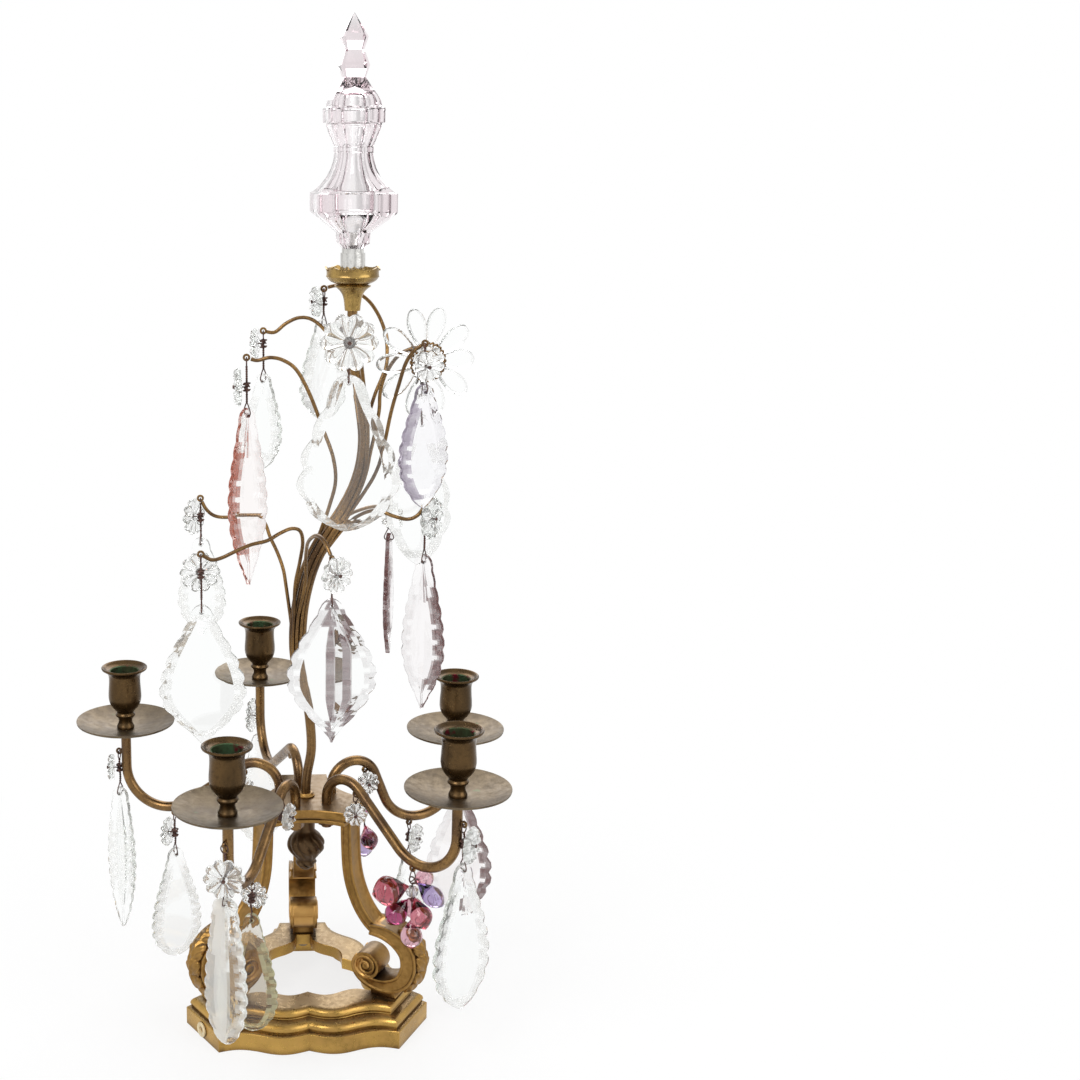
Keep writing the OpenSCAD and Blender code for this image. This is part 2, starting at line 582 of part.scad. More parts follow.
// Finial outline: share of the half width and share of the height
finial_line = [[finial_neck_r / (finial_w / 2), 0], [0.25, 0.05], [0.4, 0.085], [0.7, 0.12], [1, 0.16], [1, 0.255], [0.8, 0.3],
    [0.5, 0.36], [0.4, 0.42], [0.4, 0.5], [0.5, 0.545], [0.69, 0.565], [0.69, 0.625], [0.56, 0.66], [0.34, 0.7], [0.26, 0.738],
    [0.31, 0.8], [0.21, 0.85], [0.21, 0.865], [0.29, 0.905], [0.02, 1]];
hollow_top = 0.7;
module cut_turning(line) {
    rotate(180 / finial_sides) rotate_extrude($fn = finial_sides) polygon(concat([[0, line[0].y]], line, [[0, last(line).y]]));
}
finial_wide = finial_w / 2 / cos(180 / finial_sides);
hollow_line = [for (p = finial_line) if (p[1] > 0.08 && p[1] < hollow_top)
    [max(p[0] * finial_w / 2 - finial_wall, sleeve_peg_r), p[1] * finial_h]];
module glass_finial() {
    color("#e6cfd8", 0.6) translate(sleeve_at + [0, 0, sleeve_h + fit]) difference() {
        cut_turning([for (p = finial_line) [p[0] * finial_wide, p[1] * finial_h]]);
        rotate_extrude() polygon(concat([[0, 0.08 * finial_h]], hollow_line, [[0, hollow_top * finial_h]]));
        translate([0, 0, -1]) cylinder(r = sleeve_peg_r + fit, h = sleeve_peg_h + 2);
    }
}

// A drop: where its eye is, which way the eye points, how far down the rosette is tied, the rosette's
// radius and facing, spare hook length, and the way the pendant faces
EYE = 0;
HEADING = 1;
TIED = 2;
ROSE_R = 3;
ROSE_FACE = 4;
SPARE = 5;
FACE = 6;
function tree_drop(path, tied, rose_r, rose_face, spare, face) =
    [last(path) + [0, 0, plat_top], heading(path), tied, rose_r, rose_face, spare, face];
function arm_drop(at, i, tied, rose_r, rose_face, spare, face) =
    [at, arm_angles[i], tied, rose_r, rose_face, spare, face];
drop_top = 5;
rosette_clear = 1.5;
function hole_of(d) = d[EYE] - [0, 0, d[TIED] + d[ROSE_R] + drop_top + rosette_clear + d[SPARE]];

top_drop = tree_drop(top_branch, 9, 11, 195, 0, -60);
back_left_drop = tree_drop(back_left_branch, 9, 11, 170, 9, -130);
pink_drop = tree_drop(pink_branch, 20, 13, 185, 0, -50);
front_drop = tree_drop(front_branch, 14, 19, -90, 1, -88);
lilac_drop = tree_drop(lilac_branch, 15, 10.5, -75, 0, -60);
daisy_drop = tree_drop(daisy_branch, 8.6, 38, -70, 0, -92);
mauve_drop = tree_drop(mauve_branch, 8.6, 15, -35, 10, -125);
small_drop = tree_drop(small_branch, 14, 13.5, 150, 0, -100);
left_kite_drop = tree_drop(left_kite_branch, 14, 14, 100, 6, -92);
front_kite_drop = tree_drop(front_kite_branch, 10, 12.6, -55, 3, -86);
back_drop = tree_drop(back_branch, 9, 10, 60, 0, -15);
left_icicle_drop = arm_drop(cup_eye(4), 4, 13, 10, 180, 4.5, -125);
left_pear_drop = arm_drop(bend_eye(4), 4, 16, 11, 160, 0, -60);
front_left_prism_drop = arm_drop(cup_eye(0), 0, 22, 14, -95, 0, -118);
smoky_drop = arm_drop(bend_eye(0), 0, 12, 10, 70, 0, -100);
front_right_drop = arm_drop(cup_eye(1), 1, 14, 13, -30, 0, -60);
right_leaf_drop = arm_drop(cup_eye(2), 2, 12, 9, 0, 6, -110);
right_pear_drop = arm_drop(bend_eye(2), 2, 12, 11, -30, 0, -60);
back_pear_drop = arm_drop(cup_eye(3), 3, 15, 14, 165, 0, 100);
// The grapes hang on a single ring, without a shank
grape_drop = arm_drop(bend_eye(1), 1, 0, 0, 0, 2.5, arm_angles[1] - 90);
small_grape_drop = arm_drop(arch_eye(2), 2, 9, 9, arm_angles[2] - 90, 0, arm_angles[2] + 180);
tree_drops = [top_drop, back_left_drop, pink_drop, front_drop, lilac_drop, daisy_drop, mauve_drop, small_drop, left_kite_drop,
    front_kite_drop, back_drop];
arm_drops = [left_icicle_drop, left_pear_drop, front_left_prism_drop, smoky_drop, front_right_drop, right_leaf_drop,
    right_pear_drop, back_pear_drop, small_grape_drop];

// Small rosettes tied under the arches of three arms, without a pendant
arch_rose_r = 10;
arch_tied = 11;
arch_ties = [arm_drop(arch_eye(0), 0, arch_tied, arch_rose_r, arm_angles[0] + 90, 0, 0),
    arm_drop(arch_eye(1), 1, 13.4, 8.6, -93, 0, 0),
    arm_drop(arch_eye(4), 4, arch_tied, arch_rose_r, arm_angles[4] + 90, 0, 0)];

// Hook wire: a ring through the eye, a shank with the knot of the rosette, a ring through the pendant
upper_ring_r = 3;
lower_ring_r = 4.5;
knot_r = 1.5;
module hook_top(d) {
    translate(d[EYE] - [0, 0, upper_ring_r]) rotate([90, 0, d[HEADING] + 90]) ring(upper_ring_r, hook_d / 2);
    if (d[ROSE_R] > 0) translate(d[EYE] - [0, 0, d[TIED]]) sphere(knot_r, $fn = 24);
}
module shank(from, down) {
    translate(from - [0, 0, down]) cylinder(d = hook_d - 0.2, h = down, $fn = 16);
}
module hook(d) {
    if (d[TIED] > 0) {
        hook_top(d);
        shank(d[EYE] - [0, 0, 2 * upper_ring_r], d[EYE].z - hole_of(d).z - 2 * upper_ring_r - 2 * lower_ring_r);
    }
    translate(hole_of(d) + [0, 0, lower_ring_r]) rotate([90, 0, d[FACE]]) ring(lower_ring_r, hook_d / 2);
}
module hook_wires() {
    color("#3a2a22") {
        for (d = concat(tree_drops, arm_drops, [grape_drop])) union() { hook(d); }
        for (d = arch_ties) union() {
            hook_top(d);
            shank(d[EYE] - [0, 0, 2 * upper_ring_r], d[TIED] - 2 * upper_ring_r);
        }
    }
}

// Rosette: scalloped disc with a domed middle, on a short boss against its knot
petals = 10;
petal_dip = 0.14;
boss_r = 2;
boss_h = 2.8;
function rosette_plan(r) = [for (k = [0 : 6 * petals - 1]) let (a = 60 * k / petals)
    r * (1 - petal_dip + petal_dip * abs(sin(petals * a / 2))) * [cos(a), sin(a)]];
module rosette(r) {
    linear_extrude(rosette_t) polygon(rosette_plan(r));
    translate([0, 0, rosette_t - 0.5]) rotate_extrude() polygon([[0, 0], [r * 0.36, 0], [r * 0.3, 1.6], [r * 0.16, 2.6], [0, 3]]);
    translate([0, 0, -boss_h]) cylinder(r = boss_r, h = boss_h + 0.5);
}
module on_knot(d) {
    translate(d[EYE] - [0, 0, d[TIED]]) rotate([90, 0, d[ROSE_FACE] + 90]) translate([0, 0, knot_r + fit + boss_h]) children();
}
module rosettes_on_tree() {
    color("#e8edf0", 0.6) for (d = tree_drops) if (d != daisy_drop) on_knot(d) union() { rosette(d[ROSE_R]); }
}
module rosettes_on_arms() {
    color("#e8edf0", 0.6) for (d = concat(arm_drops, arch_ties)) on_knot(d) union() { rosette(d[ROSE_R]); }
}

// Daisy: flat glass petals in two layers round a core that carries a rosette
daisy_petals_n = 10;
hub_r = 7;
hub_t = 7.4;
daisy_rose_r = 12;
petal_w = 14;
petal_t = 3;
petal_steps = 14;
function petal_half(u) = petal_w / 2 * pow(sin(180 * pow(u, 1.5)), 0.7);
function petal_plan(from, to) = concat(
    [for (k = [0 : petal_steps]) [from + (to - from) * k / petal_steps, -petal_half(k / petal_steps)]],
    [for (k = [petal_steps - 1 : -1 : 1]) [from + (to - from) * k / petal_steps, petal_half(k / petal_steps)]]);
module daisy_hub() {
    color("#e8edf0", 0.6) on_knot(daisy_drop) {
        cylinder(r = hub_r, h = hub_t);
        translate([0, 0, -boss_h]) cylinder(r = boss_r, h = boss_h + 0.5);
        translate([0, 0, hub_t - 0.2]) linear_extrude(rosette_t) polygon(rosette_plan(daisy_rose_r));
    }
}
module daisy_petals() {
    color("#e8edf0", 0.6) on_knot(daisy_drop) for (k = [1 : daisy_petals_n]) rotate(360 * k / daisy_petals_n)
        translate([0, 0, k % 2 == 0 ? 0.2 : petal_t + 2 * gap]) linear_extrude(petal_t)
            polygon(petal_plan(hub_r + gap, daisy_drop[ROSE_R]));
}

// Pendant: scalloped plate with a bevelled face, hung by its drilled hole
plate_steps = 27;
lobe_dip = 0.09;
bevel_x = 0.6;
bevel_y = 0.78;
tip_w = 1.6;
function swell(t, neck, peak, full) = t < peak ? neck + (1 - neck) * pow(sin(90 * t / peak), 1.5)
    : pow(cos(90 * (t - peak) / (1 - peak)), full);
function half_at(t, w, neck, peak, full, lobes) = max(tip_w / 2,
    w / 2 * swell(t, neck, peak, full) * (1 - lobe_dip * (1 - abs(sin(180 * lobes * t)))));
function down_plate(k) = 0.4 * k / plate_steps + 0.3 * (1 - cos(180 * k / plate_steps));
function plate_plan(w, l, neck, peak, full, lobes, kx, ky) = let (mid = drop_top - l * peak)
    [for (side = [1, -1]) for (k = [0 : plate_steps])
        let (t = down_plate(side > 0 ? plate_steps - k : k))
        [side * kx * half_at(t, w, neck, peak, full, lobes), mid + ky * (drop_top - l * t - mid), 0]];
module plate(w, l, neck, peak, full, lobes) {
    edge = plate_plan(w, l, neck, peak, full, lobes, 1, 1);
    face = plate_plan(w, l, neck, peak, full, lobes, bevel_x, bevel_y);
    difference() {
        skin([raised(face, -drop_mid_t / 2), raised(edge, -drop_edge_t / 2),
            raised(edge, drop_edge_t / 2), raised(face, drop_mid_t / 2)]);
        cylinder(d = drop_hole_d, h = 2 * drop_mid_t, center = true);
    }
}
module hung(d) {
    translate(hole_of(d)) rotate([90, 0, d[FACE] + 90]) children();
}
module pendant_top() { color("#e6ebee", 0.6) hung(top_drop) plate(40, 72, 0.3, 0.68, 0.6, 6); }
module pendant_back_left() { color("#e6ebee", 0.6) hung(back_left_drop) plate(32, 68, 0.34, 0.62, 0.7, 6); }
module pendant_pink_spear() { color("#c98378", 0.7) hung(pink_drop) plate(34, 124, 0.34, 0.55, 1, 7); }
module pendant_front_leaf() { color("#e6ebee", 0.6) hung(front_drop) plate(68, 104, 0.28, 0.7, 0.6, 5); }
module pendant_lilac() { color("#b9aac4", 0.7) hung(lilac_drop) plate(40, 84, 0.3, 0.6, 0.7, 7); }
module pendant_daisy_leaf() { color("#e6ebee", 0.6) hung(daisy_drop) plate(46, 106, 0.24, 0.64, 0.7, 5); }
module pendant_mauve_spear() { color("#8e6f82", 0.7) hung(mauve_drop) plate(34, 113, 0.34, 0.6, 1, 7); }
module pendant_small_left() { color("#e6ebee", 0.6) hung(small_drop) plate(36, 72, 0.3, 0.66, 0.6, 6); }
module pendant_left_kite() { color("#e6ebee", 0.6) hung(left_kite_drop) plate(61, 102, 0.2, 0.62, 1.3, 7); }
module pendant_front_kite() { color("#e6ebee", 0.6) hung(front_kite_drop) plate(61, 100, 0.2, 0.55, 1.3, 7); }
module pendant_mauve_back() { color("#8e6f82", 0.7) hung(back_drop) plate(30, 94, 0.34, 0.6, 1, 7); }
module pendant_left_icicle() { color("#e6ebee", 0.6) hung(left_icicle_drop) plate(26, 114, 0.5, 0.5, 0.7, 7); }
module pendant_left_pear() { color("#e6ebee", 0.6) hung(left_pear_drop) plate(42, 88, 0.26, 0.72, 0.5, 7); }
module pendant_front_left_prism() { color("#e6ebee", 0.6) hung(front_left_prism_drop) plate(32, 106, 0.55, 0.66, 0.45, 7); }
module pendant_smoky() { color("#9a987c", 0.7) hung(smoky_drop) plate(36, 88, 0.28, 0.74, 0.5, 7); }
module pendant_front_right() { color("#e6ebee", 0.6) hung(front_right_drop) plate(48, 108, 0.26, 0.68, 0.6, 6); }
module pendant_right_leaf() { color("#a58aa0", 0.7) hung(right_leaf_drop) plate(52, 100, 0.24, 0.64, 0.7, 6); }
module pendant_right_pear() { color("#e6ebee", 0.6) hung(right_pear_drop) plate(30, 62, 0.34, 0.7, 0.5, 6); }
module pendant_back_pear() { color("#e6ebee", 0.6) hung(back_pear_drop) plate(40, 96, 0.26, 0.7, 0.5, 7); }

// Grapes: teardrops tied by their tips to a wire with an eye
grape_r = 6.4;
grape_l = 20;
grape_eye_r = 3.6;
grape_eye_t = 2.4;
grape_wire_r = 0.7;
tip_off = grape_wire_r + gap;
module grape(r, l) {
    rotate_extrude() polygon(concat([[0, 0]], [for (k = [0 : 14]) let (t = k / 14)
        [max(0.25, r * pow(sin(180 * pow(t, 1.5)), 0.9)), -l * t] ], [[0, -l]]));
}
module tied_grape(down, around, lean, r, l) {
    rotate(around) translate([tip_off, 0, -down]) rotate([0, -lean, 0]) grape(r, l);
}
module grape_wire(length) {
    difference() {
        union() {
            rotate([90, 0, 0]) cylinder(r = grape_eye_r, h = grape_eye_t, center = true);
            translate([0, 0, -length]) cylinder(r = grape_wire_r, h = length - drop_hole_d / 2 - 0.5);
        }
        rotate([90, 0, 0]) cylinder(d = drop_hole_d, h = 2 * grape_eye_t, center = true);
    }
}
module stood(d) {
    translate(hole_of(d)) rotate([0, 0, d[FACE] + 90]) children();
}
// Grapes of the cluster: way round, lean, radius, length, depth below the eye and offset of the tip
cluster = [[228, 80, 9.8, 24.5, 4.2, 1.9], [48, 45, 7, 25, 2, 3.5], [93, 85, 6.6, grape_l, 3, 2.2], [223, 36, 7.2, grape_l, 14, 3],
    [-2, 26, 7.2, grape_l, 12.2, 2.5], [123, 30, 6.8, grape_l, 14, 3.2]];
end_down = 27;
end_grape_r = 7.2;
tie_r = 0.5;
bead_r = 3;
bead_down = 8.4;
module grape_cluster() {
    color("#9c3f6c", 0.8) stood(grape_drop) {
        union() {
            grape_wire(end_down);
            for (g = cluster) rotate(g[0]) translate([0, 0, -g[4]]) rotate([0, 90, 0]) cylinder(r = tie_r, h = g[5] - 2 * gap);
        }
        for (g = cluster) rotate(g[0]) translate([g[5], 0, -g[4]]) rotate([0, -g[1], 0]) grape(g[2], g[3]);
        translate([0, 0, -end_down - gap]) grape(end_grape_r, grape_l);
        difference() {
            translate([0, 0, -bead_down]) sphere(bead_r);
            translate([0, 0, -bead_down - bead_r]) cylinder(r = tip_off, h = 2 * bead_r);
        }
    }
}
upper_down = 5;
pair_lean = 44;
pair_down = 19;
module grape_pair() {
    color("#b0577c", 0.8) stood(small_grape_drop) {
        grape_wire(pair_down + upper_down);
        tied_grape(upper_down, 180, pair_lean, grape_r, grape_l);
        tied_grape(pair_down, 0, pair_lean, grape_r, grape_l);
        translate([0, 0, -pair_down - upper_down - gap]) grape(grape_r, grape_l);
    }
}

base_plinth();
cable_grommet();
leg_front_left();
leg_front_right();
leg_back();
acanthus_leaves();
leg_screws();
platform();
pinecone_knop();
arm_nuts();
arm_front_left();
arm_front_right();
arm_right();
arm_back();
arm_left();
drip_pan_front_left();
drip_pan_front_right();
drip_pan_right();
drip_pan_back();
drip_pan_left();
candle_cup_front_left();
candle_cup_front_right();
candle_cup_right();
candle_cup_back();
candle_cup_left();
stem_collar();
main_stem();
branch_wires();
gallery_cup();
finial_sleeve();
glass_finial();
hook_wires();
rosettes_on_tree();
rosettes_on_arms();
daisy_hub();
daisy_petals();
pendant_top();
pendant_back_left();
pendant_pink_spear();
pendant_front_leaf();
pendant_lilac();
pendant_daisy_leaf();
pendant_mauve_spear();
pendant_small_left();
pendant_left_kite();
pendant_front_kite();
pendant_mauve_back();
pendant_left_icicle();
pendant_left_pear();
pendant_front_left_prism();
pendant_smoky();
pendant_front_right();
pendant_right_leaf();
pendant_right_pear();
pendant_back_pear();
grape_cluster();
grape_pair();
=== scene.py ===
"""Girandole candle holder: chased bronze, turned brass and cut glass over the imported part."""

import json
import math

import bmesh
import bpy
import numpy as np
from mathutils import Euler, Matrix, Vector


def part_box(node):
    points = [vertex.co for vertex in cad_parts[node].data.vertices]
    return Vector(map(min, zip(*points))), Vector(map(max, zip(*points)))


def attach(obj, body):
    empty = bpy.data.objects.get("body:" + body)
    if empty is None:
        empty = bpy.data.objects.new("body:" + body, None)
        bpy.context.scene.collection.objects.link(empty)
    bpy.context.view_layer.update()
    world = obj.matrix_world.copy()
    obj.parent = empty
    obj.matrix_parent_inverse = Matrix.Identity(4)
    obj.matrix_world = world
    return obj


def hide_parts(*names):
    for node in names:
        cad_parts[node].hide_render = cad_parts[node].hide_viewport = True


bl_info = {
    "name": "Girandole Candle Holder",
    "version": (1, 0, 0),
    "blender": (4, 5, 0),
    "location": "View3D > Sidebar > Girandole",
    "description": "Builds the bronze stand, the candle cups, the wire tree and the cut-glass drops "
                   "of a girandole",
    "category": "Object",
}

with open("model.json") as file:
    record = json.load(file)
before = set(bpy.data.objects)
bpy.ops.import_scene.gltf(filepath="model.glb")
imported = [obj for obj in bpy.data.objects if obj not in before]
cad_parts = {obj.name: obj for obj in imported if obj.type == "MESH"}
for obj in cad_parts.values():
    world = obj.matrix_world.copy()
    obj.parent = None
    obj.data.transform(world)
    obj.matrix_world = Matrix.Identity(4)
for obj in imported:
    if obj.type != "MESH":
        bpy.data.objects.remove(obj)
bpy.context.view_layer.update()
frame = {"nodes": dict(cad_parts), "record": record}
SWINGS = {joint["child"]: joint for joint in frame["record"]["behaviour"]["joints"]}

MM = 0.001
STAND = "stand"

# Sizes of the solids that the pieces share with the CAD model, in millimetres and degrees.
# Base: corners and sides from the axis, plain band, then height, step and top width of the moulding
BASE_CORNER, BASE_SIDE, BASE_BAND = 89.0, 65.5, 13.5
BASE_MOULD, BASE_STEP, BASE_RIM = 15.5, 15.0, 18.0
# Swing of the sides, thickness of the wall and of the web under the top
BASE_BOW, BASE_WALL, BASE_WEB = 5.0, 5.0, 8.5
BASE_TOP = BASE_BAND + BASE_MOULD
# Legs: height, then half width and half depth of the upper bar, and half width of the scroll
LEG_TOP, LEG_HALF, LEG_DEEP, SCROLL_HALF = 129.0, 8.0, 4.0, 10.5
# Platform: corners and sides from the axis, hollow of the sides, thickness
PLATE_CORNER, PLATE_SIDE, PLATE_HOLLOW, PLATE_T = 42.0, 36.0, 8.0, 11.0
PLATE_BOTTOM = BASE_TOP + LEG_TOP
PLATE_TOP = PLATE_BOTTOM + PLATE_T
CORNERS = (-150, -30, 90)
# Arms: tube, root, rise of the pan's seat, arch and low bend, then heading, reach and lift of each arm
ARM_R, ARM_ROOT, PAN_RISE = 3.7, 20.0, 38.5
ARCH_R, ARCH_RISE, BEND_R, BEND_RISE = 18.0, 22.0, 30.0, 8.5
ARM_NAMES = ("front_left", "front_right", "right", "back", "left")
ARM_ANGLES = (-114, -43, 19, 103, 164)
ARM_REACHES = (137, 136, 121, 143, 139)
ARM_LIFTS = (1, -2, -8, 6, 2)
# Pans: radius, depth and thickness, then the flat hub and its bore
PAN_R, PAN_DEPTH, PAN_T, PAN_HUB, PAN_BORE = 36.5, 6.5, 1.6, 6.5, 3.2
CUP_H, CANDLE_R, CANDLE_DEPTH = 48.0, 10.2, 24.0
# Stem, circle of the branch wires round it and their number
STEM_R, STRAND_R, STRANDS = 3.5, 5.1, 11
# Drilled eyes: radius, distance from the tube, and where each kind is on its arm
EYE_R, EYE_OUT, CUP_EYE_OUT = 2.6, 1.3, 2.0
CUP_EYE_RISE, BEND_EYE_TURN, ARCH_EYE_OUT = 19.5, 12, 9
# Glass above the hole of a pendant
DROP_TOP = 5.0


def linear(code):
    """Linear red, green and blue of an sRGB hex code."""
    parts = [int(code[i:i + 2], 16) / 255 for i in (1, 3, 5)]
    return [p / 12.92 if p <= 0.04045 else ((p + 0.055) / 1.055) ** 2.4 for p in parts]


def colour_setting(name, description, code):
    """A colour that the user can change, given as sRGB hex."""
    return bpy.props.FloatVectorProperty(name=name, description=description, subtype="COLOR", size=3, min=0,
                                         max=1, default=linear(code))


class GirandoleMetals(bpy.types.PropertyGroup):
    """Colours of the metals and their patina."""

    gilt: colour_setting("Gilt", "Worn gilding on the legs and platform", "#93703a")
    gilt_edge: colour_setting("Gilt edge", "Gilding rubbed bright along raised edges", "#c4995a")
    # The next colour also takes the ambient occlusion darkening of every hollow: painted shade, on top of the
    # patina
    gilt_patina_and_shade: colour_setting("Gilt hollow", "Brown patina in the hollows of the casting", "#47301b")
    base: colour_setting("Base", "Brighter gilding of the base", "#c29c52")
    tube: colour_setting("Tube", "Aged brass of the arms, stem and branch wires", "#8c6c42")
    tube_stain: colour_setting("Tube stain", "Reddish brown stain on the tube", "#5d4732")
    turned: colour_setting("Turned brass", "Turned brass of the candle cups", "#5e482c")
    turned_stain: colour_setting("Turned stain", "Dull brown on the candle cups", "#463622")
    polished: colour_setting("Polished brass", "Brighter brass of the gallery cup", "#ab8d52")
    polished_stain: colour_setting("Polished stain", "Brown tarnish on the gallery cup", "#836a3f")
    spun: colour_setting("Spun brass", "Greyer brass of the drip pans", "#726450")
    spun_stain: colour_setting("Spun stain", "Grey brown stain on the pans", "#5d5142")
    dust: colour_setting("Dust", "Grey brown film on faces that look up", "#6f6252")
    verdigris: colour_setting("Verdigris", "Green copper salts in the cups and pans", "#4f6b4c")
    wax: colour_setting("Wax", "Old red wax in the cups", "#6e1f2a")
    knop: colour_setting("Knop", "Dark patina of the swirled knop", "#5c4832")
    iron: colour_setting("Iron", "Rusted iron of the hook wires", "#45302a")


class GirandoleGlass(bpy.types.PropertyGroup):
    """Tints of the glass."""

    clear: colour_setting("Clear", "Lead glass of most drops and the rosettes, seen through 10 mm", "#fbfdfc")
    rose: colour_setting("Rose", "Faint rose of the finial, seen through 12 mm", "#f2ebed")
    pink: colour_setting("Pink", "Faint salmon of the long spear, seen through 40 mm", "#f0dcd5")
    lilac: colour_setting("Lilac", "Faint lilac of the leaf, seen through 40 mm", "#e6e0ec")
    mauve: colour_setting("Mauve", "Faint mauve of the spears and leaf, seen through 40 mm", "#e2d6d8")
    smoky: colour_setting("Smoky", "Smoky grey pear, seen through 9 mm", "#b8ae9c")
    magenta: colour_setting("Magenta", "Magenta grapes, seen through 12 mm", "#ae4f7e")
    salmon: colour_setting("Salmon", "Salmon grapes, seen through 12 mm", "#cb8490")
    violet: colour_setting("Violet", "Violet grapes, seen through 12 mm", "#b6a5c9")
    blush: colour_setting("Blush", "Pale pink grapes, seen through 12 mm", "#d9b0ba")


class GirandoleSizes(bpy.types.PropertyGroup):
    """Sizes of the fine detail."""

    wire_radius: bpy.props.FloatProperty(name="Branch wire", description="Radius of a branch wire",
                                         default=1.3 * MM, unit="LENGTH")
    hook_radius: bpy.props.FloatProperty(name="Hook wire", description="Radius of a hook wire",
                                         default=0.45 * MM, unit="LENGTH")
    border: bpy.props.FloatProperty(name="Cut border", description="Width of the cut border of a pendant",
                                    default=6.0 * MM, unit="LENGTH")
    petals: bpy.props.IntProperty(name="Petals", description="Petals of a rosette", default=10, min=6, max=16)
    knop_lobes: bpy.props.IntProperty(name="Knop lobes", description="Swirled lobes round the knop",
                                      default=10, min=6, max=16)
    leaf_relief: bpy.props.FloatProperty(name="Leaf relief", description="Height of the acanthus leaves",
                                         default=4.0 * MM, unit="LENGTH")


def smooth(points, steps):
    """Points of a smooth curve through the given ones."""
    p = np.array(points, float)
    q = np.vstack([p[:1], p, p[-1:]])
    curve = []
    for i in range(1, len(p)):
        a, b, c, d = q[i - 1:i + 3]
        for t in np.arange(steps) / steps:
            curve.append((2 * b + (c - a) * t + (2 * a - 5 * b + 4 * c - d) * t * t
                          + (3 * b - 3 * c + d - a) * t ** 3) / 2)
    return np.array(curve + [p[-1]])


def toward(angle):
    """Unit vector in plan at an angle in degrees."""
    return np.array([math.cos(math.radians(angle)), math.sin(math.radians(angle)), 0.0])


def upright(facing):
    """Turn that stands a flat shape up, with its front towards an angle in degrees."""
    return Euler((math.radians(90), 0, math.radians(facing + 90))).to_matrix()


def turned(points, angle):
    """Points of (distance from the axis, sideways, height) turned about the axis."""
    p = np.array(points, float)
    c, s = math.cos(math.radians(angle)), math.sin(math.radians(angle))
    return np.column_stack([p[:, 0] * c - p[:, 1] * s, p[:, 0] * s + p[:, 1] * c, p[:, 2]])


def weave(loops, ends="cap"):
    """Vertices and faces through loops of as many points each. Ends are capped, left open or joined."""
    n, m = len(loops[0]), len(loops)
    faces = []
    for j in range(m if ends == "join" else m - 1):
        for i in range(n):
            k, up = (i + 1) % n, (j + 1) % m
            faces.append((j * n + i, j * n + k, up * n + k, up * n + i))
    if ends == "cap":
        faces += [tuple(range(n - 1, -1, -1)), tuple((m - 1) * n + i for i in range(n))]
    return np.vstack(loops), faces


def lathe(profile, at=(0, 0, 0), turns=72, ends="join", ripple=None):
    """A turned shape from (radius, height) points. ripple lifts a point by its index and angle."""
    angles = np.linspace(0, 2 * math.pi, turns, endpoint=False)
    loops = []
    for index, (r, z) in enumerate(profile):
        lift = np.array([ripple(index, a) for a in angles]) if ripple else 0 * angles
        loops.append(np.column_stack([r * np.cos(angles), r * np.sin(angles), z + lift]) + np.array(at))
    return weave(loops, ends)


def add(tree, kind, inputs=None, **settings):
    """Adds a node with its settings, and sets or links its inputs."""
    made = tree.nodes.new(kind)
    for key, value in settings.items():
        setattr(made, key, value)
    for key, value in (inputs or {}).items():
        if isinstance(value, bpy.types.NodeSocket):
            tree.links.new(value, made.inputs[key])
        else:
            made.inputs[key].default_value = value
    return made


def new_object(name, verts, faces, edges=()):
    """A mesh object from points in millimetres, with doubles merged and faces turned outwards."""
    mesh = bpy.data.meshes.new(name)
    mesh.from_pydata([tuple(v) for v in np.array(verts) * MM], list(edges), faces)
    if faces:
        shape = bmesh.new()
        shape.from_mesh(mesh)
        bmesh.ops.remove_doubles(shape, verts=shape.verts, dist=1e-6)
        bmesh.ops.dissolve_degenerate(shape, edges=shape.edges, dist=1e-6)
        bmesh.ops.recalc_face_normals(shape, faces=shape.faces)
        shape.to_mesh(mesh)
        shape.free()
    made = bpy.data.objects.new(name, mesh)
    bpy.context.scene.collection.objects.link(made)
    return made


def settle(made):
    """Turns an object with live modifiers into a plain mesh."""
    graph = bpy.context.evaluated_depsgraph_get()
    mesh = bpy.data.meshes.new_from_object(made.evaluated_get(graph))
    made.modifiers.clear()
    made.data = mesh


def fit(made, body, stands_for, crease=None):
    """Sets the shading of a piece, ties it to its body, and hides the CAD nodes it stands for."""
    if crease is None:
        made.data.shade_flat()
    else:
        made.data.shade_smooth()
        made.data.set_sharp_from_angle(angle=math.radians(crease))
    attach(made, body)
    if stands_for:
        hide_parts(*stands_for)
    return made


def piece(name, parts, material, stands_for=(), body=STAND, crease=35, bevel=0):
    """A finished piece from (vertices, faces) parts, with its edges softened by bevel millimetres."""
    verts, faces, start = [], [], 0
    for part_verts, part_faces in parts:
        verts.append(part_verts)
        faces += [tuple(i + start for i in face) for face in part_faces]
        start += len(part_verts)
    made = new_object(name, np.vstack(verts), faces)
    made.data.materials.append(material)
    if bevel:
        soft = made.modifiers.new("Worn edges", "BEVEL")
        soft.width, soft.segments = bevel * MM, 2
        soft.limit_method, soft.angle_limit = "ANGLE", math.radians(32)
        settle(made)
    return fit(made, body, stands_for, crease)


def run_tree(made, tree, values):
    """Runs a Geometry Nodes tree on an object with the named values, and keeps the result as a plain mesh."""
    modifier = made.modifiers.new(tree.name, "NODES")
    modifier.node_group = tree
    for item in tree.interface.items_tree:
        if item.in_out == "INPUT" and item.name in values:
            modifier[item.identifier] = values[item.name]
    settle(made)


def new_tree(name, sockets):
    """An empty Geometry Nodes tree with the named inputs, and its input and output nodes."""
    tree = bpy.data.node_groups.new(name, "GeometryNodeTree")
    tree.is_modifier = True
    tree.interface.new_socket("Geometry", in_out="INPUT", socket_type="NodeSocketGeometry")
    for label, kind in sockets:
        tree.interface.new_socket(label, in_out="INPUT", socket_type=kind)
    tree.interface.new_socket("Geometry", in_out="OUTPUT", socket_type="NodeSocketGeometry")
    return tree, tree.nodes.new("NodeGroupInput"), tree.nodes.new("NodeGroupOutput")


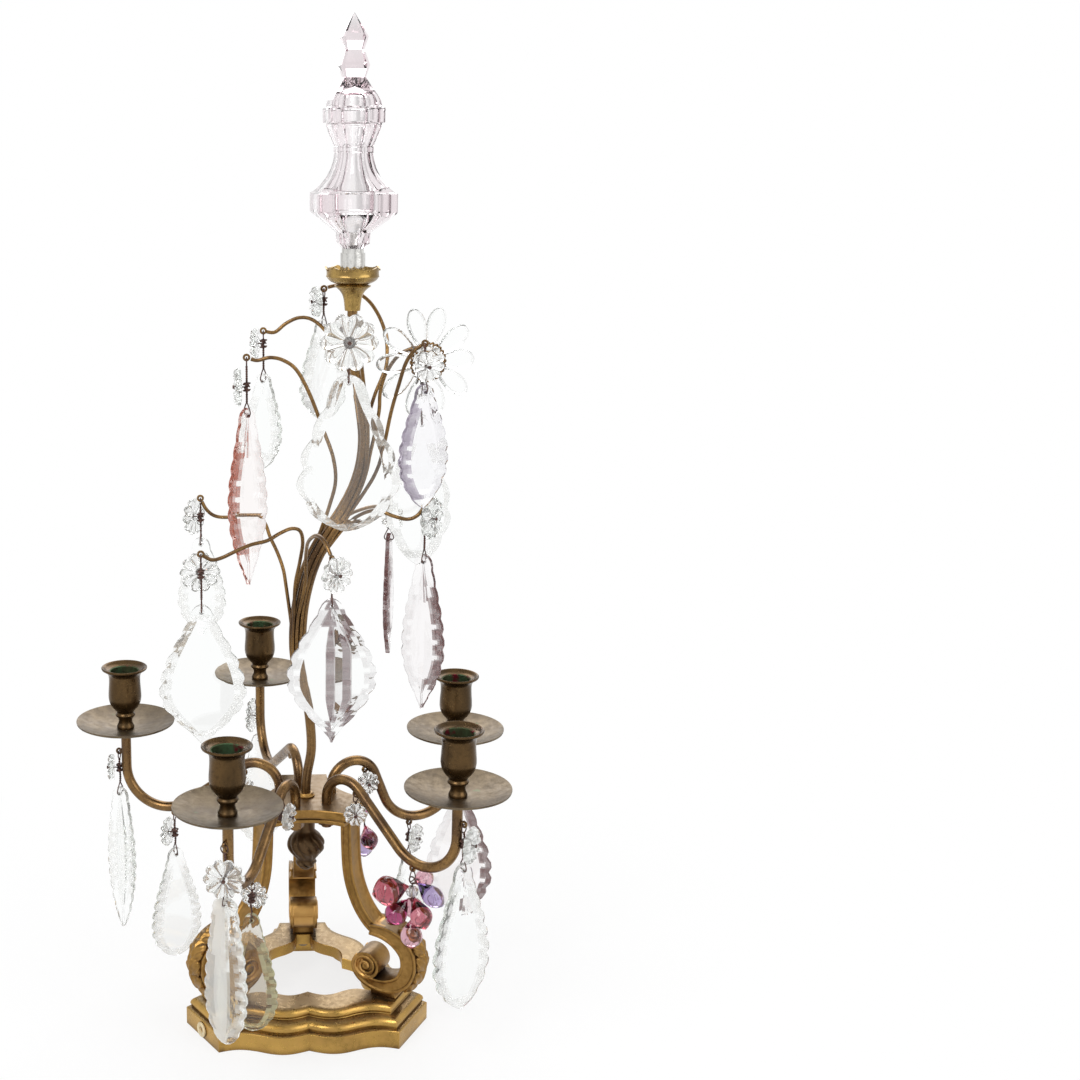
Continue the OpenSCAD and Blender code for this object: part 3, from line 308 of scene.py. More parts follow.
def drawn_wire_tree():
    """Round wire drawn along every line of edges."""
    tree, given, out = new_tree("Drawn wire", [("Wire radius", "NodeSocketFloat"), ("Sides", "NodeSocketInt"),
                                               ("Material", "NodeSocketMaterial")])
    line = add(tree, "GeometryNodeMeshToCurve", {"Mesh": given.outputs["Geometry"]})
    section = add(tree, "GeometryNodeCurvePrimitiveCircle",
                  {"Resolution": given.outputs["Sides"], "Radius": given.outputs["Wire radius"]},
                  mode="RADIUS")
    wire = add(tree, "GeometryNodeCurveToMesh",
               {"Curve": line.outputs["Curve"], "Profile Curve": section.outputs["Curve"], "Fill Caps": True})
    real = add(tree, "GeometryNodeRealizeInstances", {"Geometry": wire.outputs["Mesh"]})
    painted = add(tree, "GeometryNodeSetMaterial", {"Geometry": real.outputs["Geometry"],
                                                    "Material": given.outputs["Material"]})
    tree.links.new(painted.outputs["Geometry"], out.inputs["Geometry"])
    return tree


def set_pieces_tree():
    """One shape set on every point, turned and sized by the point's own attributes."""
    tree, given, out = new_tree("Set pieces",
                                [("Shape", "NodeSocketObject"), ("Material", "NodeSocketMaterial")])
    shape = add(tree, "GeometryNodeObjectInfo", {"Object": given.outputs["Shape"]})
    turn = add(tree, "GeometryNodeInputNamedAttribute", {"Name": "turn"}, data_type="FLOAT_VECTOR")
    size = add(tree, "GeometryNodeInputNamedAttribute", {"Name": "size"}, data_type="FLOAT_VECTOR")
    rotation = add(tree, "FunctionNodeEulerToRotation", {"Euler": turn.outputs["Attribute"]})
    points = add(tree, "GeometryNodeMeshToPoints", {"Mesh": given.outputs["Geometry"]})
    placed = add(tree, "GeometryNodeInstanceOnPoints", {
        "Points": points.outputs["Points"], "Instance": shape.outputs["Geometry"],
        "Rotation": rotation.outputs["Rotation"], "Scale": size.outputs["Attribute"]})
    real = add(tree, "GeometryNodeRealizeInstances", {"Geometry": placed.outputs["Instances"]})
    painted = add(tree, "GeometryNodeSetMaterial", {"Geometry": real.outputs["Geometry"],
                                                    "Material": given.outputs["Material"]})
    tree.links.new(painted.outputs["Geometry"], out.inputs["Geometry"])
    return tree


def drawn_wire(name, lines, radius, sides, material, stands_for=(), body=STAND):
    """Wires of one radius in metres along lines of points in millimetres."""
    verts, edges, start = [], [], 0
    for line in lines:
        verts.append(np.array(line, float))
        edges += [(start + i, start + i + 1) for i in range(len(line) - 1)]
        start += len(line)
    made = new_object(name, np.vstack(verts), [], edges)
    run_tree(made, bpy.data.node_groups["Drawn wire"],
             {"Wire radius": radius, "Sides": sides, "Material": material})
    return fit(made, body, stands_for, 50)


def set_pieces(name, shape, places, material, stands_for=(), body=STAND, crease=30):
    """Copies of a shape at (point in millimetres, turn in degrees, size along x, y and z)."""
    made = new_object(name, [p for p, _, _ in places], [])
    for label, values in (("turn", [[math.radians(a) for a in t] for _, t, _ in places]),
                          ("size", [s for _, _, s in places])):
        layer = made.data.attributes.new(label, "FLOAT_VECTOR", "POINT")
        layer.data.foreach_set("vector", np.array(values, float).ravel())
    run_tree(made, bpy.data.node_groups["Set pieces"], {"Shape": shape, "Material": material})
    return fit(made, body, stands_for, crease)


def discard(*objects):
    """Removes shapes for copying and cutters that have done their work."""
    for used in objects:
        bpy.data.objects.remove(used, do_unlink=True)


def new_material(name):
    """A material with its tree emptied, and its output node and object coordinates."""
    made = bpy.data.materials.new(name)
    made.use_nodes = True
    made.node_tree.nodes.clear()
    tree = made.node_tree
    out = add(tree, "ShaderNodeOutputMaterial")
    where = add(tree, "ShaderNodeTexCoord").outputs["Object"]
    return made, tree, out, where


def patch(tree, where, size_mm, detail=4.0, low=0.4, high=0.6):
    """Soft patches of about the given size, as a factor from 0 to 1."""
    noise = add(tree, "ShaderNodeTexNoise", {"Vector": where, "Scale": 1 / (size_mm * MM), "Detail": detail})
    return add(tree, "ShaderNodeMapRange",
               {"Value": noise.outputs["Fac"], "From Min": low, "From Max": high}).outputs["Result"]


def blend(tree, factor, first, second):
    """A colour between two, by a factor."""
    first, second = (c if isinstance(c, bpy.types.NodeSocket) else (*c, 1.0) for c in (first, second))
    # The node has sockets for each kind of value: 6 and 7 take the colours, and 2 gives the mixed one
    mixed = add(tree, "ShaderNodeMix", {0: factor, 6: first, 7: second}, data_type="RGBA")
    return mixed.outputs[2]


def edge_shade(tree, distance_mm, inside):
    """Ambient occlusion over a short distance: hollows go dark, or from the inside, raised edges do."""
    shade = add(tree, "ShaderNodeAmbientOcclusion", {"Distance": distance_mm * MM}, samples=8, inside=inside)
    return shade.outputs["AO"]


def cast_bronze(name, body, edge, hollow, dust, rough):
    """Cast and chased bronze: gilding worn off the edges, brown patina in patches and in the hollows, where
    ambient occlusion also paints shade, and file marks.
    """
    made, tree, out, where = new_material(name)
    # Patches of patina a few millimetres to a few centimetres wide
    broad = patch(tree, where, 26, 6, 0.35, 0.68)
    fine = patch(tree, where, 3.5, 5, 0.36, 0.66)
    colour = blend(tree, broad, body, [0.55 * b + 0.45 * h for b, h in zip(body, hollow)])
    colour = blend(tree, add(tree, "ShaderNodeMath", {0: fine, 1: 0.35}, operation="MULTIPLY").outputs[0],
                   colour, edge)
    up = add(tree, "ShaderNodeSeparateXYZ", {"Vector": tree.nodes["Texture Coordinate"].outputs["Normal"]})
    film = add(tree, "ShaderNodeMapRange",
               {"Value": up.outputs["Z"], "From Min": 0.8, "From Max": 1.0, "To Max": 0.75})
    colour = blend(tree, film.outputs["Result"], colour, dust)
    # Ambient occlusion pulls the hollows towards the hollow colour: painted shade, on top of the patina that
    # lies there
    dark = add(tree, "ShaderNodeMapRange",
               {"Value": edge_shade(tree, 7, False), "From Min": 0.85, "From Max": 0.3})
    colour = blend(tree, dark.outputs["Result"], colour, hollow)
    bright = add(tree, "ShaderNodeMapRange",
                 {"Value": edge_shade(tree, 1.6, True), "From Min": 0.75, "From Max": 0.3})
    colour = blend(tree, bright.outputs["Result"], colour, edge)
    # Chasing and file marks under a millimetre, drawn about 0.7 mm wide so that they show
    grain = add(tree, "ShaderNodeTexNoise", {"Vector": where, "Scale": 1 / (0.7 * MM), "Detail": 3.0})
    bump = add(tree, "ShaderNodeBump",
               {"Height": grain.outputs["Fac"], "Strength": 0.12, "Distance": 0.25 * MM})
    gloss = add(tree, "ShaderNodeMapRange", {"Value": fine, "To Min": rough - 0.07, "To Max": rough + 0.12})
    shader = add(tree, "ShaderNodeBsdfPrincipled",
                 {"Base Color": colour, "Metallic": 0.92, "Roughness": gloss.outputs["Result"],
                  "Normal": bump.outputs["Normal"]})
    tree.links.new(shader.outputs["BSDF"], out.inputs["Surface"])
    return made


def aged_brass(name, body, stain, rough, spots=None, spot_amount=0.62, spots_mm=7):
    """Drawn or turned brass: satin, stained in patches, with spots of copper salts where they are given."""
    made, tree, out, where = new_material(name)
    stretched = add(tree, "ShaderNodeMapping", {"Vector": where, "Scale": (1.0, 1.0, 0.35)}).outputs["Vector"]
    colour = blend(tree, patch(tree, stretched, 14, 6, 0.38, 0.66), body, stain)
    colour = blend(tree, patch(tree, where, 2.2, 4, 0.5, 0.9), colour, [0.75 * c for c in stain])
    if spots:
        colour = blend(tree, patch(tree, where, spots_mm, 6, spot_amount, spot_amount + 0.1), colour, spots)
    grain = add(tree, "ShaderNodeTexNoise", {"Vector": where, "Scale": 1 / (0.6 * MM), "Detail": 3.0})
    bump = add(tree, "ShaderNodeBump",
               {"Height": grain.outputs["Fac"], "Strength": 0.08, "Distance": 0.2 * MM})
    gloss = add(tree, "ShaderNodeMapRange",
                {"Value": patch(tree, where, 5, 5, 0.3, 0.7), "To Min": rough - 0.08, "To Max": rough + 0.12})
    shader = add(tree, "ShaderNodeBsdfPrincipled",
                 {"Base Color": colour, "Metallic": 0.9, "Roughness": gloss.outputs["Result"],
                  "Normal": bump.outputs["Normal"]})
    tree.links.new(shader.outputs["BSDF"], out.inputs["Surface"])
    return made


def rusted_iron(name, body):
    """Thin annealed iron wire with brown rust: dull and rough."""
    made, tree, out, where = new_material(name)
    colour = blend(tree, patch(tree, where, 2.5, 5, 0.4, 0.62), body, [min(1, 2.2 * c) for c in body])
    shader = add(tree, "ShaderNodeBsdfPrincipled", {"Base Color": colour, "Metallic": 0.4, "Roughness": 0.62})
    tree.links.new(shader.outputs["BSDF"], out.inputs["Surface"])
    return made


def lead_glass(name, tint, depth_mm, rim="#fbfaf7", ground=0.0):
    """Lead glass with a tint seen through the given depth, and cut faces that scatter the rim's colour: a
    painted colour that stands in for the lines, bands and outlines that refraction and reflection give the
    facets.
    """
    made, tree, out, where = new_material(name)
    # Waves left by the polishing wheel, about 6 mm apart
    waves = add(tree, "ShaderNodeTexNoise", {"Vector": where, "Scale": 1 / (6 * MM), "Detail": 1.0})
    bump = add(tree, "ShaderNodeBump",
               {"Height": waves.outputs["Fac"], "Strength": 0.03, "Distance": 0.4 * MM})
    haze = add(tree, "ShaderNodeMapRange",
               {"Value": patch(tree, where, 4, 4), "To Min": 0.002, "To Max": 0.008})
    polished = add(tree, "ShaderNodeBsdfPrincipled", {
        "Base Color": (1, 1, 1, 1), "Roughness": haze.outputs["Result"], "IOR": 1.56,
        "Transmission Weight": 1.0, "Normal": bump.outputs["Normal"]})
    # Painted facet colour: the rim colour on the cut faces stands in for what refraction and reflection show
    # there
    lit = add(tree, "ShaderNodeBsdfDiffuse", {"Color": (*linear(rim), 1.0)})
    through = add(tree, "ShaderNodeBsdfTranslucent", {"Color": (*linear(rim), 1.0)})
    painted_facets = add(tree, "ShaderNodeMixShader", {0: 0.5, 1: lit.outputs[0], 2: through.outputs[0]})
    cut = add(tree, "ShaderNodeAttribute", attribute_name="cut")
    share = add(tree, "ShaderNodeMapRange", {"Value": cut.outputs["Fac"], "To Min": ground, "To Max": 0.8})
    shader = add(tree, "ShaderNodeMixShader",
                 {0: share.outputs["Result"], 1: polished.outputs[0], 2: painted_facets.outputs[0]})
    loss = [-math.log(c) / (depth_mm * MM) for c in tint]
    left = [1 - one / max(loss) for one in loss]
    depth = add(tree, "ShaderNodeVolumeAbsorption", {"Color": (*left, 1.0), "Density": max(loss)})
    tree.links.new(shader.outputs[0], out.inputs["Surface"])
    tree.links.new(depth.outputs["Volume"], out.inputs["Volume"])
    return made


def aged_plastic(name, body):
    """Urea plastic gone ivory with age: matt, with darker grime."""
    made, tree, out, where = new_material(name)
    colour = blend(tree, patch(tree, where, 3, 4, 0.42, 0.7), body, [0.7 * c for c in body])
    shader = add(tree, "ShaderNodeBsdfPrincipled", {"Base Color": colour, "Roughness": 0.45})
    tree.links.new(shader.outputs["BSDF"], out.inputs["Surface"])
    return made


def make_materials():
    """Every finish of the object, by name."""
    m, g = bpy.context.scene.girandole_metals, bpy.context.scene.girandole_glass
    return {
        "gilt": cast_bronze("Gilt bronze", list(m.gilt), list(m.gilt_edge), list(m.gilt_patina_and_shade), list(m.dust),
                            0.36),
        "base": cast_bronze("Gilt bronze base", list(m.base), list(m.gilt_edge), list(m.gilt_patina_and_shade),
                            list(m.dust), 0.31),
        "knop": cast_bronze("Dark bronze", list(m.knop), [1.5 * c for c in m.knop], [0.4 * c for c in m.knop],
                            list(m.knop), 0.42),
        "tube": aged_brass("Drawn brass", list(m.tube), list(m.tube_stain), 0.28),
        "turned": aged_brass("Turned brass", list(m.turned), list(m.turned_stain), 0.27),
        "spun": aged_brass("Spun brass", list(m.spun), list(m.spun_stain), 0.38, list(m.verdigris), 0.68, 9),
        "lining": aged_brass("Verdigris brass", list(m.verdigris), list(m.turned_stain), 0.6, list(m.wax),
                             0.55, 8),
        "iron": rusted_iron("Iron wire", list(m.iron)),
        "grey": aged_brass("Tinned iron", linear("#e2e1de"), linear("#c9c7c3"), 0.1),
        "polished": aged_brass("Polished brass", list(m.polished), list(m.polished_stain), 0.24),
        "steel": aged_brass("Steel", linear("#7c7972"), linear("#55524d"), 0.4),
        "ivory": aged_plastic("Urea plastic", linear("#e0cfa8")),
        # The third colour of a glass is painted on its cut faces. It stands in for the lines, bands and
        # outlines that refraction, reflection and the longer path through tinted glass give the facets. The
        # pressed glass takes a little of it on every face.
        "clear": lead_glass("Lead glass", g.clear, 10),
        "pressed": lead_glass("Pressed glass", g.clear, 10, ground=0.16),
        "fluted": lead_glass("Fluted glass", g.clear, 10, "#8c7375"),
        "rose": lead_glass("Rose glass", g.rose, 12),
        "pink": lead_glass("Salmon glass", g.pink, 40, "#c4735e"),
        "lilac": lead_glass("Lilac glass", g.lilac, 40, "#beb4c4"),
        "mauve": lead_glass("Mauve glass", g.mauve, 40, "#805b59"),
        "smoky": lead_glass("Smoky glass", g.smoky, 9, "#ecebc6"),
        "magenta": lead_glass("Magenta glass", g.magenta, 12),
        "salmon": lead_glass("Salmon grape glass", g.salmon, 12),
        "violet": lead_glass("Violet glass", g.violet, 12),
        "blush": lead_glass("Blush glass", g.blush, 12),
    }


# Short name of each finish and the name of its material, filled by main
FINISH_NAMES = {}


def finish(name):
    """A material by its short name."""
    return bpy.data.materials[FINISH_NAMES[name]]


def base_plan(inset, steps=52):
    """Plan of the base: each side bows out beside the cusp at its middle, and hollows towards its ends."""
    bowed, hollow = 0.56, 0.6
    corner, side = BASE_CORNER - inset, BASE_SIDE - inset
    half = (corner - side / 2) / math.sin(math.radians(60))
    points = []
    for k in range(3):
        face = -90 + 120 * k
        for u in np.linspace(-1, 1, steps + 1):
            a = abs(u)
            if a < bowed:
                wave = BASE_BOW * math.sin(math.pi * a / bowed)
            else:
                wave = -hollow * BASE_BOW * math.sin(math.pi * (a - bowed) / (1 - bowed))
            points.append(toward(face) * (side + wave) + toward(face + 90) * u * half)
    return np.array(points)


def plate_plan(inset, steps=36):
    """Plan of the platform: three hollow sides with cut-off corners."""
    corner, side = PLATE_CORNER - inset, PLATE_SIDE - inset
    half = (corner - side / 2) / math.sin(math.radians(60))
    return np.array([toward(-90 + 120 * k) * (side - PLATE_HOLLOW * (1 - u * u)) + toward(120 * k) * u * half
                     for k in range(3) for u in np.linspace(-1, 1, steps + 1)])


def raised(plan, z):
    """A plan lifted to a height."""
    return plan + np.array([0, 0, z])


class GIRANDOLE_OT_base(bpy.types.Operator):
    """Casts the hollow base with its stepped moulding"""

    bl_idname = "girandole.base"
    bl_label = "Base"

    def execute(self, context):
        # Moulding as shares of its step and height
        steps = [(0.2, 0.03), (0.205, 0.1), (0.165, 0.17), (0.165, 0.24), (0.2, 0.33), (0.3, 0.42),
                 (0.44, 0.49), (0.57, 0.53), (0.655, 0.565), (0.67, 0.6), (0.625, 0.66), (0.605, 0.72),
                 (0.62, 0.8), (0.66, 0.88), (0.73, 0.945), (0.84, 0.99), (1, 1)]
        outside = [(0.3, 0), (0, 0.3), (0, BASE_BAND - 0.5), (0.5, BASE_BAND)]
        outside += [(s * BASE_STEP, BASE_BAND + h * BASE_MOULD) for s, h in steps]
        hole, web, web_from, band = BASE_STEP + BASE_RIM, BASE_TOP - BASE_WEB, 14, BASE_BAND - 1
        inside = [(hole - 0.5, BASE_TOP), (hole, BASE_TOP - 0.5), (hole, web), (web_from, web),
                  (web_from, band), (BASE_WALL, band), (BASE_WALL, 0)]
        loops = [raised(base_plan(inset), z) for inset, z in outside + inside]
        piece("base_plinth_cast", [weave(loops, "join")], finish("base"), ["base_plinth"],
              crease=38)
        # Bush of the cable as radius and distance from the corner
        bush = [(2.5, -5), (4, -5), (4, 0.2), (5.4, 0.2), (5.6, 0.6), (5.5, 1.3), (5.0, 1.75), (3.6, 1.8),
                (2.7, 1.4), (2.5, 0.8)]
        verts, faces = lathe(bush, turns=40)
        verts = turned(np.column_stack([verts[:, 2] + BASE_CORNER, verts[:, 0], verts[:, 1] + BASE_BAND / 2]),
                       CORNERS[0])
        piece("cable_bush", [(verts, faces)], finish("ivory"), ["cable_grommet"])
        return {"FINISHED"}


# Upper bar of a leg as distance and height, and its scroll as distance, height and half depth, above the base
UPPER_LEG = [(36.5, 129), (37, 109.75), (38.5, 90.5), (42.5, 75.1), (49, 62), (58, 52), (68, 49.7)]
SCROLL = [(57, 51, 4), (68, 50.5, 5), (79, 46, 5.7), (87, 37, 6), (88, 25, 6), (82, 14, 5.6), (70.5, 8.6, 5),
          (58.5, 9, 4.4), (50, 14, 4.2), (47, 21, 4), (49.5, 27.5, 3.6)]
# The rolled end of the scroll: its middle, and its radius
ROLL_AT = (54.5, 21.5)
ROLL_R = 10.5


def moulded_bar(line, half_width, sunk=0.9, border=2.2):
    """A bar along (distance, height, half depth) points, with raised borders on its face and sides."""
    slope, fillet = 0.9, 0.6
    flat = np.array(line)
    ways = np.gradient(flat[:, :2], axis=0)
    ways /= np.linalg.norm(ways, axis=1)[:, None]
    loops = []
    for (r, z, deep), (dr, dz) in zip(flat, ways):
        rim, w = min(border * 0.8, deep * 0.42), half_width
        section = [(-w, deep), (border - w, deep), (border + slope - w, deep - sunk),
                   (w - border - slope, deep - sunk), (w - border, deep),
                   (w, deep), (w, deep - rim), (w - sunk, deep - rim - fillet),
                   (w - sunk, rim + fillet - deep), (w, rim - deep), (w, -deep),
                   (-w, -deep), (-w, rim - deep), (sunk - w, rim + fillet - deep),
                   (sunk - w, deep - rim - fillet), (-w, deep - rim)]
        loops.append([(r - d * dz, t, z + d * dr) for t, d in section])
    return weave([np.array(loop) for loop in loops])


def scroll_roll():
    """The rolled end of a leg's scroll, with a button on each side."""
    # Radius and height of one end, from the button to the rim
    end = [(0, SCROLL_HALF), (2.2, SCROLL_HALF + 0.5), (2.8, SCROLL_HALF), (3.2, SCROLL_HALF - 1),
           (7.4, SCROLL_HALF - 1), (8.4, SCROLL_HALF), (ROLL_R - 0.4, SCROLL_HALF),
           (ROLL_R, SCROLL_HALF - 0.4)]
    profile = [(r, -h) for r, h in end] + end[::-1]
    verts, faces = lathe(profile, turns=48, ends="open")
    return np.column_stack([verts[:, 0] + ROLL_AT[0], verts[:, 2], verts[:, 1] + ROLL_AT[1]]), faces


def acanthus(relief):
    """Half-wrapped leaf on the outer curve of the scroll, veined and lobed, its tip curled at the foot."""
    # The stretch of the scroll that the leaf covers
    run = smooth(SCROLL, 24)[40:142]
    ways = np.gradient(run[:, :2], axis=0)
    ways /= np.linalg.norm(ways, axis=1)[:, None]
    columns, half_width, lobes, flutes = 28, 8.4, 5.5, 11
    loops = []
    for j, ((r, z, deep), (dr, dz)) in enumerate(zip(run, ways)):
        a = j / (len(run) - 1)
        lobe = abs(math.sin(math.pi * lobes * a))
        swell = 0.3 + 0.7 * math.sin(math.pi * min(1, 0.16 + 0.8 * a)) ** 0.7
        width = half_width * swell * (0.72 + 0.28 * lobe ** 0.6)
        width *= min(1, 6 * (1 - a) + 0.08)
        fade = min(1, 0.35 + 5 * (1 - a), 0.2 + 8 * a)
        lifted = 2.6 * math.exp(-((a - 0.04) / 0.03) ** 2)
        top, under = [], []
        for v in np.linspace(-1, 1, columns + 1):
            vein = 0.8 * math.exp(-(v / 0.13) ** 2)
            phase = 2 * math.pi * flutes * (a + 0.1 * abs(v))
            flute = 0.7 * math.sin(phase) * abs(v) ** 0.5 + 1.3 * lobe ** 0.5 - 0.6
            high = relief * (0.35 + 0.5 * (1 - abs(v) ** 1.6)) * fade + vein + flute
            high += lifted * (1 - 0.6 * abs(v))
            for row, out in ((top, deep + max(0.7, high)), (under, deep - 1.2)):
                row.append((r - out * dz, v * width, z + out * dr))
        loops.append(np.array(top + under[::-1]))
    return weave(loops)


class GIRANDOLE_OT_legs(bpy.types.Operator):
    """Casts the three scroll legs with their volutes and acanthus leaves"""

    bl_idname = "girandole.legs"
    bl_label = "Legs"

    def execute(self, context):
        lift = np.array([0, 0, BASE_TOP])
        upper = smooth([(r, z, LEG_DEEP) for r, z in UPPER_LEG], 8)
        scroll = smooth(SCROLL, 9)
        back, front, half = 58, 78, LEG_HALF
        foot = weave([np.array([(back, -half, z), (front - z * 0.4, -half, z), (front - z * 0.4, half, z),
                                (back, half, z)], float) for z in (0, 1.5, 4, 7)])
        relief = context.scene.girandole_sizes.leaf_relief / MM
        # The volute winds in by a turn and a half, from 8.6 to 2.2 mm from the middle of the roll
        winding = np.linspace(0, 1, 54)
        turn, wide = np.radians(200 - 560 * winding), 8.6 - 6.4 * winding
        spirals = []
        for angle, node in zip(CORNERS, ("leg_front_left", "leg_front_right", "leg_back")):
            parts = [moulded_bar(upper, LEG_HALF), moulded_bar(scroll, SCROLL_HALF), scroll_roll(), foot]
            place = [(turned(v + lift, angle), f) for v, f in parts]
            piece(node + "_cast", place, finish("gilt"), [node], crease=40, bevel=0.35)
            for side in (-1, 1):
                line = np.column_stack([ROLL_AT[0] + wide * np.cos(turn),
                                        np.full(len(wide), side * (SCROLL_HALF - 0.4)),
                                        ROLL_AT[1] + wide * np.sin(turn) + BASE_TOP])
                spirals.append(turned(line, angle))
        drawn_wire("leg_volutes", spirals, 1.15 * MM, 10, finish("gilt"))
        leaf, leaf_faces = acanthus(relief)
        leaves = [(turned(leaf + lift, angle), leaf_faces) for angle in CORNERS]
        piece("acanthus_leaves_chased", leaves, finish("gilt"), ["acanthus_leaves"], crease=60)
        return {"FINISHED"}


class GIRANDOLE_OT_platform(bpy.types.Operator):
    """Casts the platform and chases the swirled knop under it"""

    bl_idname = "girandole.platform"
    bl_label = "Platform and knop"

    def execute(self, context):
        # Inset of the moulded edge, and share of the thickness
        edge = [(3, 0), (2.3, 0.04), (2, 0.1), (1.9, 0.18), (2.2, 0.26), (2.9, 0.3), (3, 0.36), (1.6, 0.38),
                (0.7, 0.43), (0.2, 0.5), (0, 0.56), (0, 0.9), (0.25, 0.96), (0.8, 1)]
        loops = [raised(plate_plan(inset), PLATE_BOTTOM + share * PLATE_T) for inset, share in edge]
        piece("platform_cast", [weave(loops)], finish("gilt"), ["platform"], crease=38)
        self.knop(context.scene.girandole_sizes.knop_lobes)
        return {"FINISHED"}

    def knop(self, lobes):
        """A bulb with swirled lobes that ends in a twisted bud."""
        # Where the bulb and the bud begin below the platform, and how long they are
        bulb_from, bulb_long, bud_from, bud_long, bud_lobes = 16.5, 22, 38.5, 9, 5
        # Radius and depth below the platform
        line = smooth([(0, 0.2), (6, 0.2), (6, 6), (5.8, 9), (5.9, 12), (6.3, 14.6), (7.2, 16.4), (9.8, 19),
                       (12.2, 22), (13.6, 26), (13.2, 29.8), (11, 33.4), (8.4, 36.6), (7.2, 38.6),
                       (7.6, 40.6), (7.2, 42.4), (5.4, 44.4), (2.8, 46.6), (0, 47.6)], 5)
        angles = np.linspace(0, 2 * math.pi, 160, endpoint=False)
        loops = []
        for radius, depth in line:
            bulb = math.sin(math.pi * min(1, max(0, (depth - bulb_from) / bulb_long)))
            bud = math.sin(math.pi * min(1, max(0, (depth - bud_from) / bud_long)))
            swirl = np.abs(np.sin(lobes * (angles - 0.05 * (depth - 17)) / 2)) ** 0.6
            twist = np.abs(np.sin(bud_lobes * (angles - 0.22 * (depth - 38)) / 2)) ** 0.7
            r = radius * (1 + 0.15 * bulb * (swirl - 0.8) + 0.34 * bud * (twist - 0.8))
            loops.append(np.column_stack([r * np.cos(angles), r * np.sin(angles),
                                          0 * angles + PLATE_BOTTOM - depth]))
        piece("knop_chased", [weave(loops, "open")], finish("knop"), ["pinecone_knop"],
              crease=50)


def arch_mid():
    """Centre of the arch of an arm: distance and height."""
    return np.array([ARM_ROOT + ARCH_R, PLATE_TOP + ARCH_RISE - ARCH_R])


def bend_mid(i):
    """Centre of the low bend of an arm: distance and height."""
    return np.array([ARM_REACHES[i] - BEND_R, PLATE_TOP + BEND_RISE + ARM_LIFTS[i]])


def on_arm(i, r, z):
    """A point at a distance and height in the plane of an arm."""
    return toward(ARM_ANGLES[i]) * r + np.array([0, 0, z])


def pan_seat(i):
    """Height of the seat of a pan."""
    return PLATE_TOP + PAN_RISE + ARM_LIFTS[i]


def cup_eye(i):
    """The eye on the upright end of an arm, under its pan."""
    return on_arm(i, ARM_REACHES[i] + ARM_R + CUP_EYE_OUT, PLATE_TOP + CUP_EYE_RISE + ARM_LIFTS[i])


def bend_eye(i):
    """The eye under the low bend of an arm."""
    out, turn = BEND_R + ARM_R + EYE_OUT, math.radians(BEND_EYE_TURN)
    return on_arm(i, bend_mid(i)[0] - out * math.sin(turn), bend_mid(i)[1] - out * math.cos(turn))


def arch_eye(i):
    """The eye under the arch of an arm."""
    a = arch_mid()
    under = math.sqrt((ARCH_R - ARM_R) ** 2 - ARCH_EYE_OUT ** 2)
    return on_arm(i, a[0] + ARCH_EYE_OUT, a[1] + under - EYE_OUT)


def arm_line(i):
    """Points along the middle of an arm's tube."""
    a, b = arch_mid(), bend_mid(i)
    reach = b - a
    slope = math.atan2(reach[1], reach[0]) - math.asin((ARCH_R + BEND_R) / np.linalg.norm(reach))
    line = [(ARM_ROOT, PLATE_BOTTOM - 7), (ARM_ROOT, PLATE_TOP)]
    for middle, radius, angles in ((a, ARCH_R, np.linspace(math.pi, math.pi / 2 + slope, 22)),
                                   (b, BEND_R, np.linspace(1.5 * math.pi + slope, 2 * math.pi, 30))):
        line += [middle + radius * np.array([math.cos(t), math.sin(t)]) for t in angles]
    line += [(ARM_REACHES[i], pan_seat(i) - PAN_T - 1)]
    return [on_arm(i, r, z) for r, z in line]


def eye_ring(at, heading):
    """A flattened and drilled wire end, upright in the plane of its heading."""
    profile = [(1.1, -0.6), (1.4, -0.9), (2.2, -0.9), (2.6, -0.4), (2.6, 0.4), (2.2, 0.9), (1.4, 0.9),
               (1.1, 0.6)]
    verts, faces = lathe(profile, turns=24)
    turn = Euler((math.radians(90), 0, math.radians(heading))).to_matrix()
    return verts @ np.array(turn).T + np.array(at), faces


